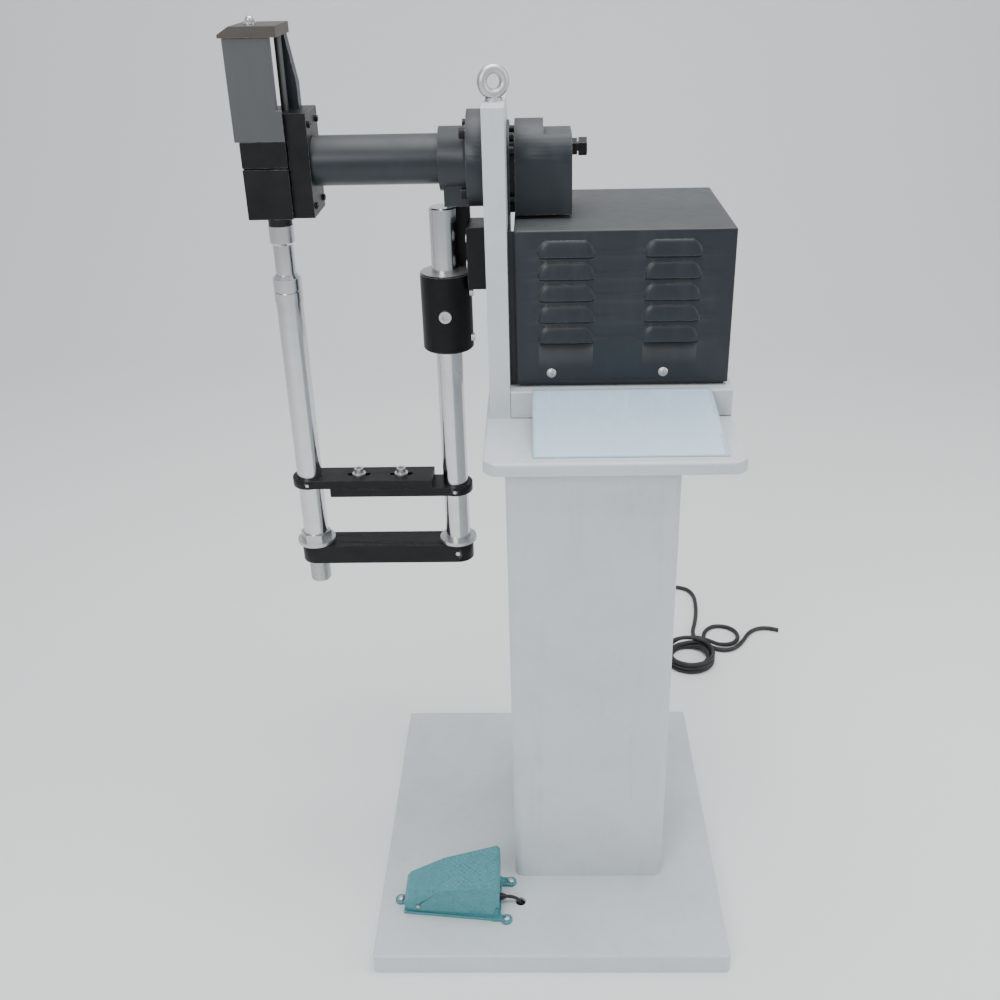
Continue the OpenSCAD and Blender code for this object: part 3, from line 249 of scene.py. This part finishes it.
def make_cover():
    """The folded sheet cover: scoop louvres with open lips, round folds and a set-back foot."""
    low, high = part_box("motor_cover")
    front, bottom, margin = low.y + LOUVRE_OUT, low.z + COVER_FOOT, 0.008
    middles = [low.x + 0.035 + LOUVRE_W / 2 + side * LOUVRE_APART for side in (0, 1)]
    columns = [low.x, low.x + margin]
    for middle in middles:
        columns += [middle + LOUVRE_W * (i / 46 - 0.5) for i in range(47)]
    columns += [high.x - margin, high.x]
    # each row is a height and its rise above a lip, or None on the flat sheet
    rows = [(bottom, None), (bottom + margin, None)]
    for row in reversed(range(LOUVRE_ROWS)):
        lip = high.z - 0.015 - row * LOUVRE_PITCH - LOUVRE_H
        rows.append((lip, None))
        rows += [(lip + LOUVRE_H * i / 14, LOUVRE_H * i / 14) for i in range(15)]
    rows += [(high.z - margin, None), (high.z, None)]
    points, faces = [], []
    for z, rise in rows:
        for x in columns:
            across = min((x - middle for middle in middles), key=abs)
            out = scoop(across, rise) if rise is not None else 0
            points.append((x, front - out, z))
    wide, tall = len(columns), len(rows)
    for j in range(tall - 1):
        if rows[j + 1][1] == 0:
            continue
        for i in range(wide - 1):
            a = j * wide + i
            faces.append((a, a + 1, a + wide + 1, a + wide))
    # the walls behind the front, and the back in one piece
    rim = [j * wide for j in range(tall)] + [(tall - 1) * wide + i for i in range(1, wide)]
    rim += [j * wide + wide - 1 for j in reversed(range(tall - 1))]
    back = len(points)
    points += [(points[k][0], high.y, points[k][2]) for k in rim]
    for k in range(len(rim) - 1):
        if points[rim[k]] != points[rim[k + 1]]:
            faces.append((rim[k], rim[k + 1], back + k + 1, back + k))
    mesh = mesh_from("louvred_cover", points, faces)
    shell = bmesh.new()
    shell.from_mesh(mesh)
    bmesh.ops.remove_doubles(shell, verts=shell.verts, dist=1e-6)
    rear = [e for e in shell.edges if e.is_boundary and all(abs(v.co.y - high.y) < 1e-6 for v in e.verts)]
    bmesh.ops.contextual_create(shell, geom=rear)
    folds = [e for e in shell.edges if len(e.link_faces) == 2 and e.calc_face_angle(0) > 1.2
             and all(abs(v.co.y - front) < 1e-6 or abs(v.co.y - high.y) < 1e-6 for v in e.verts)
             and (all(v.co.z > high.z - 1e-6 for v in e.verts)
                  or all(v.co.x < low.x + 1e-6 for v in e.verts)
                  or all(v.co.x > high.x - 1e-6 for v in e.verts))]
    bmesh.ops.bevel(shell, geom=folds, offset=0.003, segments=3, profile=0.5, affect="EDGES")
    bmesh.ops.recalc_face_normals(shell, faces=shell.faces)
    shell.to_mesh(mesh)
    shell.free()
    cover = new_piece("louvred_cover", mesh, "stand")
    mesh.set_sharp_from_angle(angle=math.radians(35))
    skin = cover.modifiers.new("thickness", "SOLIDIFY")
    skin.thickness = 0.0012
    skin.offset = -1
    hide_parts("motor_cover")
    make_cover_foot(low, high, bottom)


def make_cover_foot(low, high, top):
    """The dark set-back band that the cover stands on, and an upright dark sheet set back between the post
    and the cover, which stands in as painted shade for the gap there.
    """
    x0, x1 = low.x + COVER_FOOT, high.x - COVER_FOOT
    y0, y1 = low.y + LOUVRE_OUT + COVER_FOOT, high.y - COVER_FOOT
    corners = [(x0, y0), (x1, y0), (x1, y1), (x0, y1)]
    points = [(x, y, z) for z in (low.z, top + 0.001) for x, y in corners]
    faces = [(k, (k + 1) % 4, 4 + (k + 1) % 4, 4 + k) for k in range(4)]
    # the upright sheet closes the gap beside the post: a dark sheet standing in for the shade in that gap
    post_side, setback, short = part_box("frame_post")[1].x + 0.0005, y0 + 0.006, high.z - 0.003
    points += [(post_side, setback, low.z), (low.x + 0.001, setback, low.z),
               (low.x + 0.001, setback, short), (post_side, setback, short)]
    faces.append((8, 9, 10, 11))
    mesh = mesh_from("cover_foot", points, faces)
    foot = new_piece("cover_foot", mesh, "stand", smooth=False)
    skin = foot.modifiers.new("thickness", "SOLIDIFY")
    skin.thickness = 0.0012


make_cover()


# ---------- loose blue sheets on the table ----------

def make_sheets():
    """Two thin blanks that lean on the tray, a little wavy, one peeking out beside the other."""
    low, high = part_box("table_sheet")
    for name, shift, lift, phase in (("sheet_upper", 0, 0.0006, 0.0), ("sheet_lower", 0.0035, 0.0, 1.7)):
        nx, ny = 48, 28
        points, faces = [], []
        for j in range(ny + 1):
            for i in range(nx + 1):
                u, v = i / nx, j / ny
                x = low.x + shift + u * (high.x - low.x - 0.004 - 0.010 * v)
                y = low.y + v * (high.y - low.y)
                z = low.z + v * (high.z - low.z - 0.002)
                wave = 0.0012 * math.sin(5.5 * u + phase + 1.3 * v) * math.sin(math.pi * min(v * 1.4, 1))
                points.append((x, y, z + lift + abs(wave) + 0.0004))
        for j in range(ny):
            for i in range(nx):
                a = j * (nx + 1) + i
                faces.append((a, a + 1, a + nx + 2, a + nx + 1))
        piece = new_piece(name, mesh_from(name, points, faces), "stand")
        skin = piece.modifiers.new("thickness", "SOLIDIFY")
        skin.thickness = 0.0008
        skin.offset = 0
        if name == "sheet_upper":
            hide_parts("table_sheet")


make_sheets()


# ---------- springs ----------

def spring(name, node, turns, wire, radius):
    """A wound spring with closed ends."""
    low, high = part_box(node)
    cx, cy = (low.x + high.x) / 2, (low.y + high.y) / 2
    z0, z1 = low.z + wire / 2, high.z - wire / 2
    line = []
    steps = int(turns * 20)
    for i in range(steps + 1):
        t = i / steps
        closed = min(1, max(0, (t - 0.1) / 0.8))
        a = math.tau * turns * t
        z = z0 + (z1 - z0) * closed
        line.append(Vector((cx + radius * math.cos(a), cy + radius * math.sin(a), z)))
    mesh = tube_mesh(name, line, wire / 2, 10)
    piece = new_piece(name, mesh, "stand")
    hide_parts(node)
    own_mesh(piece)


spring("return_spring_wound", "return_spring", turns=9, wire=0.0025, radius=0.0085)
spring("treadle_spring_wound", "treadle_spring", turns=8, wire=0.0018, radius=0.007)


# ---------- thread under the lower bar ----------

def make_stub_thread():
    """The threaded lower end of the anvil rod, as a helical ridge on its core."""
    low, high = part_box("anvil_rod")
    bar_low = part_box("lower_bar")[0].z
    cx, cy = (low.x + high.x) / 2, (low.y + high.y) / 2
    pitch = 0.003
    r_core, r_top = 0.0178, 0.0184
    z0, z1 = low.z + 0.0025, bar_low - 0.0015
    turns = (z1 - z0) / pitch
    sides = 40
    steps = int(turns * sides)
    points, faces = [], []
    for i in range(steps + 1):
        a = math.tau * i / sides
        z = z0 + pitch * i / sides
        for part, r in ((-0.5, r_core), (-0.12, r_top), (0.12, r_top), (0.5, r_core)):
            points.append((cx + r * math.cos(a), cy + r * math.sin(a), z + part * pitch))
    for i in range(steps):
        for k in range(3):
            a = i * 4 + k
            faces.append((a, a + 4, a + 5, a + 1))
    new_piece("stub_thread", mesh_from("stub_thread", points, faces), "post_anvil")


make_stub_thread()


# ---------- tread of the foot switch ----------

def make_tread():
    """Raised diamonds on the treadle's steep heel half, and fine ribs on its toe half."""
    low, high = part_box("treadle")
    centre_y = (low.y + high.y) / 2
    toe, heel = low.x, high.x
    # the treadle's top runs in straight stretches between these (x, z) points
    knee = Vector((heel - 0.1, high.z - 0.019))
    crown = Vector((heel - 0.005, high.z))
    toe_end = Vector((toe + 0.006, high.z - 0.045))
    points, faces = [], []

    def half_width(x):
        return 0.030 + 0.018 * (x - toe) / (heel - toe)

    def stud(a, b, size_x, size_y, height):
        """One pointed stud at distance a along a stretch (start, end) and b across it."""
        start, end = stretch
        along = (end - start).normalized()
        rise = Vector((-along.y, along.x))
        at = start + along * a
        base = len(points)
        corners = ((-size_x, 0, 0), (0, -size_y, 0), (size_x, 0, 0), (0, size_y, 0), (0, 0, height))
        for dx, dy, up in corners:
            p = at + along * dx + rise * up
            points.append((p.x, centre_y + b + dy, p.y))
        for k in range(4):
            faces.append((base + k, base + (k + 1) % 4, base + 4))

    stretch = (knee, crown)
    length = (crown - knee).length
    pitch = 0.0095
    rows = int(length / (pitch / 2))
    for row in range(1, rows):
        a = row * pitch / 2
        w = half_width(knee.x + a) - 0.006
        count = int(w / pitch) + 1
        for k in range(-count, count + 1):
            b = (k + (row % 2) / 2) * pitch
            if abs(b) < w:
                stud(a, b, pitch * 0.42, pitch * 0.42, 0.0014)
    stretch = (toe_end, knee)
    length = (knee - toe_end).length
    pitch = 0.0042
    for row in range(1, int(length / pitch)):
        a = row * pitch
        w = half_width(toe_end.x + a) - 0.005
        count = int(w / pitch)
        for k in range(-count, count + 1):
            stud(a, k * pitch, pitch * 0.4, pitch * 0.4, 0.0006)
    mesh = mesh_from("treadle_tread", points, faces)
    new_piece("treadle_tread", mesh, "treadle", smooth=False)


make_tread()


# ---------- materials ----------

class Amount:
    """A number that varies over a surface. Python's operators add the Math nodes."""

    def __init__(self, finish, socket):
        self.finish = finish
        self.socket = socket

    def maths(self, operation, *values):
        inputs = {i: v for i, v in enumerate(values)}
        return Amount(self.finish, self.finish.node("ShaderNodeMath", {"operation": operation}, inputs))

    def __add__(self, other):
        return self.maths("ADD", self, other)

    __radd__ = __add__

    def __sub__(self, other):
        return self.maths("SUBTRACT", self, other)

    def __rsub__(self, other):
        return self.maths("SUBTRACT", other, self)

    def __mul__(self, other):
        return self.maths("MULTIPLY", self, other)

    __rmul__ = __mul__

    def __truediv__(self, other):
        return self.maths("DIVIDE", self, other)

    def kept(self, low, high):
        """0 below low, 1 above high, and a straight rise between."""
        rise = (self - low) / (high - low)
        return rise.maths("MINIMUM", rise.maths("MAXIMUM", rise, 0), 1)


class Finish:
    """One material and its shader, with short ways to add nodes."""

    def __init__(self, name, **constants):
        self.material = bpy.data.materials.new(name)
        self.material.use_nodes = True
        self.tree = self.material.node_tree
        self.shader = self.tree.nodes["Principled BSDF"]
        for key, value in constants.items():
            self.set(key.replace("_", " ").title().replace("Ior", "IOR"), value)
        self.place = self.node("ShaderNodeTexCoord", out="Object")

    def node(self, kind, settings=None, inputs=None, out=0):
        """Adds a node: its settings first, then its sockets' values or links. Returns one output."""
        made = self.tree.nodes.new(kind)
        for key, value in (settings or {}).items():
            if key == "stops":
                ramp = made.color_ramp
                ramp.elements[0].position, ramp.elements[0].color = value[0]
                ramp.elements[1].position, ramp.elements[1].color = value[-1]
                for position, colour in value[1:-1]:
                    ramp.elements.new(position).color = colour
            else:
                setattr(made, key, value)
        for key, value in (inputs or {}).items():
            self.feed(made.inputs[key], value)
        return made.outputs[out]

    def feed(self, socket, value):
        if isinstance(value, Amount):
            value = value.socket
        if isinstance(value, bpy.types.NodeSocket):
            self.tree.links.new(value, socket)
        else:
            socket.default_value = value

    def set(self, name, value):
        self.feed(self.shader.inputs[name], value)
        return self

    def noise(self, scale, detail=3, rough=0.5, stretch=(1, 1, 1)):
        """Soft random patches, scale to the metre."""
        at = self.node("ShaderNodeVectorMath", {"operation": "MULTIPLY"}, {0: self.place, 1: stretch})
        made = self.node("ShaderNodeTexNoise", None,
                         {"Vector": at, "Scale": scale, "Detail": detail, "Roughness": rough}, "Fac")
        return Amount(self, made)

    def facing_up(self):
        """1 on faces that look up, 0 on walls."""
        normal = self.node("ShaderNodeNewGeometry", out="Normal")
        return Amount(self, self.node("ShaderNodeSeparateXYZ", None, {0: normal}, "Z")).kept(0.3, 0.95)

    def edge(self, radius, low=0.02, high=0.25):
        """1 along sharp edges, 0 on flats."""
        soft = self.node("ShaderNodeBevel", {"samples": 4}, {"Radius": radius})
        flat = self.node("ShaderNodeNewGeometry", out="Normal")
        same = Amount(self, self.node("ShaderNodeVectorMath", {"operation": "DOT_PRODUCT"},
                                      {0: soft, 1: flat}, "Value"))
        return (1 - same).kept(low, high)

    def mix(self, mask, below, above):
        """The colour below where mask is 0, and above where it is 1."""
        return self.node("ShaderNodeMix", {"data_type": "RGBA"}, {0: mask, 6: below, 7: above}, 2)

    def bump(self, height, distance, strength=1.0):
        made = self.node("ShaderNodeBump", None,
                         {"Height": height, "Distance": distance, "Strength": strength})
        return self.set("Normal", made)

    def wear(self, *names):
        """Puts this finish on CAD nodes and pieces."""
        for name in names:
            thing = NODES.get(name) or bpy.data.objects[name]
            thing.data.materials.clear()
            thing.data.materials.append(self.material)


def rgb(r, g, b):
    return (r, g, b, 1.0)


def enamel(name, base, dirt, tint, gloss, peel=0.00006):
    """Sprayed enamel: an orange-peel skin, faint stains and streaks, and dark specks."""
    f = Finish(name, ior=1.48)
    patches = f.noise(7, 5, 0.6)
    streaks = f.noise(60, 4, 0.6, (1, 1, 0.12))
    specks = f.noise(420, 2, 0.5).kept(0.66, 0.74)
    stains = (patches.kept(0.48, 0.75) * 0.35 + streaks.kept(0.55, 0.8) * 0.3).kept(0, 1)
    colour = f.mix(patches, base, tint)
    colour = f.mix(stains * 0.5, colour, dirt)
    colour = f.mix(specks * 0.35, colour, dirt)
    f.set("Base Color", colour)
    f.set("Roughness", gloss + stains * 0.22 + f.noise(90, 3) * 0.08)
    f.bump(f.noise(650, 2) + f.noise(2400, 1) * 0.3, peel)
    return f


PALE = enamel("off_white_enamel", rgb(0.62, 0.66, 0.675), rgb(0.34, 0.33, 0.30), rgb(0.56, 0.61, 0.635), 0.34)
PALE.wear("base_plate", "column", "table_top", "frame_base", "frame_post")


def dark_enamel():
    """Dark blue-grey enamel with a film of brown dust on what faces up, which also serves as a painted sky
    highlight on the tops, and rubbed edges.
    """
    f = Finish("dark_enamel", ior=1.5)
    # faces that look up are painted lighter: partly real dust, partly a painted sky highlight on flat tops
    # and on the rounded tops of the arm tube and gear housing
    dust = f.facing_up() * (0.25 + f.noise(24, 4, 0.6) * 0.5)
    smears = f.noise(40, 4, 0.6, (1, 1, 0.25)).kept(0.5, 0.8)
    rubbed = f.edge(0.0018) * f.noise(160, 3).kept(0.42, 0.6)
    colour = f.mix(f.noise(12, 4), rgb(0.008, 0.012, 0.017), rgb(0.014, 0.020, 0.027))
    colour = f.mix(smears * 0.3, colour, rgb(0.035, 0.041, 0.046))
    # grey on upward faces: dust and painted sky highlight together
    colour = f.mix(dust * 0.75, colour, rgb(0.110, 0.112, 0.112))
    colour = f.mix(rubbed * 0.7, colour, rgb(0.30, 0.31, 0.32))
    f.set("Base Color", colour)
    f.set("Roughness", 0.38 + dust * 0.30 + smears * 0.12)
    f.bump(f.noise(700, 2) + dust * 0.4, 0.00006)
    return f


dark_enamel().wear("motor_cover", "louvred_cover", "cover_foot", "arm_flange", "arm_tube",
                   "gear_housing", "rear_guard")


def grey_enamel():
    f = Finish("grey_enamel", ior=1.48)
    smears = f.noise(30, 5, 0.6, (1, 1, 0.3))
    rubbed = f.edge(0.0016) * f.noise(220, 2).kept(0.4, 0.6)
    colour = f.mix(smears, rgb(0.058, 0.062, 0.066), rgb(0.085, 0.088, 0.090))
    colour = f.mix(rubbed * 0.6, colour, rgb(0.38, 0.39, 0.40))
    f.set("Base Color", colour)
    f.set("Roughness", 0.36 + smears * 0.2)
    f.bump(f.noise(600, 2), 0.00005)
    return f


grey_enamel().wear("tower_cover")


def worn_cap():
    f = Finish("worn_dark_enamel", ior=1.48)
    grime = f.noise(50, 5, 0.65)
    rubbed = f.edge(0.002) * f.noise(150, 3).kept(0.35, 0.6)
    colour = f.mix(grime, rgb(0.030, 0.026, 0.022), rgb(0.085, 0.070, 0.055))
    colour = f.mix(rubbed, colour, rgb(0.24, 0.22, 0.20))
    f.set("Base Color", colour)
    f.set("Roughness", 0.38 + grime * 0.25)
    f.bump(f.noise(500, 3), 0.00008)
    return f


worn_cap().wear("tower_cap")


def black_oxide():
    """Oiled black steel: milling marks, and bright rubbed edges."""
    f = Finish("black_oxide", metallic=0.75)
    marks = f.noise(900, 2, 0.5, (0.06, 1, 1))
    oil = f.noise(28, 4, 0.6)
    rubbed = f.edge(0.0014) * f.noise(200, 3).kept(0.38, 0.62)
    colour = f.mix(oil, rgb(0.010, 0.010, 0.011), rgb(0.024, 0.024, 0.025))
    colour = f.mix(rubbed * 0.8, colour, rgb(0.36, 0.36, 0.37))
    f.set("Base Color", colour)
    f.set("Roughness", 0.30 + oil * 0.22 - rubbed * 0.1)
    f.bump(marks, 0.00003)
    return f


black_oxide().wear("head_block", "front_plates", "head_screws", "flange_bolts", "stop_screw", "clamp_bracket",
                   "lower_bar", "link_bar_left", "link_bar_right")


def milled_top():
    """Black steel whose upward faces are milled bright."""
    f = Finish("milled_top_steel", metallic=0.85)
    bright = f.facing_up()
    oil = f.noise(28, 4, 0.6)
    rubbed = f.edge(0.0014) * f.noise(200, 3).kept(0.38, 0.62)
    colour = f.mix(oil, rgb(0.010, 0.010, 0.011), rgb(0.024, 0.024, 0.025))
    colour = f.mix(rubbed * 0.8, colour, rgb(0.36, 0.36, 0.37))
    colour = f.mix(bright, colour, rgb(0.50, 0.50, 0.49))
    f.set("Base Color", colour)
    f.set("Roughness", 0.30 + oil * 0.2)
    f.bump(f.noise(900, 2, 0.5, (0.06, 1, 1)), 0.00003)
    return f


milled_top().wear("clamp_holder")


def hardened():
    f = Finish("hardened_steel", metallic=0.9)
    temper = f.noise(70, 4, 0.6)
    rubbed = f.edge(0.001)
    colour = f.mix(temper, rgb(0.020, 0.020, 0.022), rgb(0.060, 0.055, 0.050))
    colour = f.mix(rubbed * 0.7, colour, rgb(0.42, 0.42, 0.43))
    f.set("Base Color", colour)
    f.set("Roughness", 0.28 + temper * 0.2)
    f.bump(f.noise(1200, 2), 0.00003)
    return f


hardened().wear("anvil_pad", "driver_tip")


def plated(name, tone, dull, gloss, grain):
    """Plated or polished steel with fine turning marks and a few dull spots."""
    f = Finish(name, metallic=1.0)
    rings = f.noise(grain, 2, 0.5, (0.08, 0.08, 1))
    spots = f.noise(45, 5, 0.65)
    rust = f.noise(130, 4, 0.6).kept(0.68, 0.8)
    colour = f.mix(spots, tone, dull)
    colour = f.mix(rust * 0.35, colour, rgb(0.16, 0.10, 0.06))
    f.set("Base Color", colour)
    f.set("Roughness", gloss + spots * 0.12 + rust * 0.2 + rings * 0.05)
    f.bump(rings, 0.00001)
    return f


plated("polished_chrome", rgb(0.70, 0.71, 0.72), rgb(0.56, 0.56, 0.56), 0.10, 1500).wear(
    "support_rod", "anvil_rod", "adjusting_ring", "anvil_head", "dome_nut")
plated("zinc_plate", rgb(0.66, 0.67, 0.67), rgb(0.50, 0.50, 0.49), 0.36, 900).wear(
    "eye_bolt", "cover_screws", "clamp_screws", "link_screws", "rod_nut", "treadle_pin", "foot_screws")
plated("machined_steel", rgb(0.50, 0.50, 0.50), rgb(0.36, 0.36, 0.35), 0.26, 1100).wear(
    "ram", "crankshaft", "clutch_plate", "crank_bearings", "motor_rotor", "stub_thread")
plated("oily_steel", rgb(0.16, 0.16, 0.165), rgb(0.09, 0.09, 0.09), 0.38, 900).wear("guide_rod")
plated("spring_wire", rgb(0.42, 0.42, 0.42), rgb(0.30, 0.30, 0.30), 0.3, 800).wear(
    "return_spring_wound", "treadle_spring_wound", "return_spring", "treadle_spring")
plated("roller_bronze", rgb(0.55, 0.36, 0.16), rgb(0.38, 0.24, 0.11), 0.25, 900).wear("crank_roller")


def cast_iron():
    f = Finish("cast_iron", metallic=0.8)
    sand = f.noise(900, 4, 0.7)
    colour = f.mix(f.noise(60, 4), rgb(0.07, 0.07, 0.072), rgb(0.13, 0.125, 0.12))
    f.set("Base Color", colour)
    f.set("Roughness", 0.45 + sand * 0.2)
    f.bump(sand, 0.00015)
    return f


cast_iron().wear("motor_pulley", "drive_wheel")
enamel("motor_enamel", rgb(0.10, 0.13, 0.16), rgb(0.05, 0.045, 0.04), rgb(0.13, 0.16, 0.19), 0.4).wear(
    "motor_frame")


def hammered_teal():
    """Hammered teal enamel: shallow dimples, grime between them, paint worn pale on the high points."""
    f = Finish("hammered_teal", ior=1.5)
    cells = Amount(f, f.node("ShaderNodeTexVoronoi", {"feature": "SMOOTH_F1"},
                             {"Vector": f.place, "Scale": 330}, "Distance"))
    grime = f.noise(60, 5, 0.65)
    rubbed = f.edge(0.0012) * f.noise(240, 3).kept(0.35, 0.55)
    colour = f.mix(grime, rgb(0.045, 0.200, 0.230), rgb(0.095, 0.320, 0.350))
    colour = f.mix(cells.kept(0.45, 0.8) * 0.4, colour, rgb(0.02, 0.07, 0.08))
    colour = f.mix(rubbed * 0.75, colour, rgb(0.33, 0.42, 0.43))
    f.set("Base Color", colour)
    f.set("Roughness", 0.32 + grime * 0.25)
    f.bump(cells, 0.0002)
    return f


hammered_teal().wear("foot_base", "treadle", "treadle_tread")


def sheet_film():
    f = Finish("blue_sheet", ior=1.46)
    scuffs = f.noise(120, 4, 0.6, (1, 0.15, 1)).kept(0.5, 0.8)
    colour = f.mix(f.noise(9, 4), rgb(0.40, 0.57, 0.68), rgb(0.50, 0.66, 0.76))
    colour = f.mix(scuffs * 0.4, colour, rgb(0.66, 0.75, 0.80))
    f.set("Base Color", colour)
    f.set("Roughness", 0.30 + scuffs * 0.25)
    f.bump(f.noise(260, 2), 0.00005)
    return f


sheet_film().wear("sheet_upper", "sheet_lower")


def rubber(name, tone, dusty, gloss, grain):
    """Moulded rubber or plastic with a fine grain and a little dust."""
    f = Finish(name, ior=1.5)
    dust = f.noise(50, 5, 0.65)
    colour = f.mix(dust.kept(0.45, 0.8) * 0.7, tone, dusty)
    f.set("Base Color", colour)
    f.set("Roughness", gloss + dust * 0.2)
    f.bump(f.noise(grain, 2), 0.00005)
    return f


rubber("cord_sheath", rgb(0.016, 0.016, 0.017), rgb(0.055, 0.052, 0.048), 0.42, 1500).wear(
    "mains_lead", "cord_run", "cord_coil", "inner_leads")
rubber("gland_nylon", rgb(0.014, 0.014, 0.014), rgb(0.05, 0.05, 0.05), 0.36, 900).wear(
    "cord_gland", "foot_gland", "gland_ribs")
rubber("belt_rubber", rgb(0.020, 0.020, 0.020), rgb(0.06, 0.055, 0.05), 0.6, 700).wear("drive_belt")
rubber("switch_plastic", rgb(0.03, 0.03, 0.032), rgb(0.06, 0.06, 0.06), 0.35, 900).wear("micro_switch")
rubber("plunger_plastic", rgb(0.45, 0.02, 0.015), rgb(0.30, 0.04, 0.03), 0.3, 900).wear("switch_plunger")
rubber("winding_resin", rgb(0.13, 0.05, 0.02), rgb(0.08, 0.035, 0.015), 0.4, 500).wear("clutch_coil")


# ---------- floor and light ----------

def make_floor():
    """A pale seamless floor that curves up behind the machine."""
    bend, behind, steps = 1.6, 2.6, 24
    line = [(-7, 0), (behind, 0)]
    for i in range(1, steps + 1):
        a = math.pi / 2 * i / steps
        line.append((behind + bend * math.sin(a), bend * (1 - math.cos(a))))
    line.append((behind + bend, 6))
    points = [(x, y, z) for y, z in line for x in (-9, 9)]
    faces = [(2 * k, 2 * k + 1, 2 * k + 3, 2 * k + 2) for k in range(len(line) - 1)]
    mesh = mesh_from("floor", points, faces)
    mesh.polygons.foreach_set("use_smooth", [True] * len(mesh.polygons))
    floor = bpy.data.objects.new("floor", mesh)
    floor.location.z = -0.0002
    bpy.context.scene.collection.objects.link(floor)
    f = Finish("floor_paint")
    f.set("Base Color", f.mix(f.noise(1.5, 3), rgb(0.86, 0.86, 0.855), rgb(0.88, 0.88, 0.875)))
    f.set("Roughness", 0.75 + f.noise(20, 2) * 0.1)
    mesh.materials.append(f.material)


def area_light(name, at, towards, size, power, colour=(1, 1, 1)):
    light = bpy.data.lights.new(name, "AREA")
    light.shape = "RECTANGLE"
    light.size, light.size_y = size
    light.energy = power
    light.color = colour
    lamp = bpy.data.objects.new(name, light)
    bpy.context.scene.collection.objects.link(lamp)
    lamp.location = at
    lamp.rotation_euler = (Vector(towards) - Vector(at)).to_track_quat("-Z", "Y").to_euler()


def make_light():
    world = bpy.data.worlds.new("studio")
    bpy.context.scene.world = world
    world.use_nodes = True
    world.node_tree.nodes["Background"].inputs["Color"].default_value = rgb(0.90, 0.94, 1.0)
    world.node_tree.nodes["Background"].inputs["Strength"].default_value = 0.62
    area_light("overhead", (0.2, 0.1, 3.6), (0, 0, 0.8), (2.6, 2.6), 105)
    area_light("front", (-1.6, -3.0, 2.6), (0, 0, 0.8), (2.0, 1.6), 60)
    area_light("right", (3.0, -0.6, 2.0), (0, 0, 0.8), (1.6, 2.0), 30)


make_floor()
make_light()
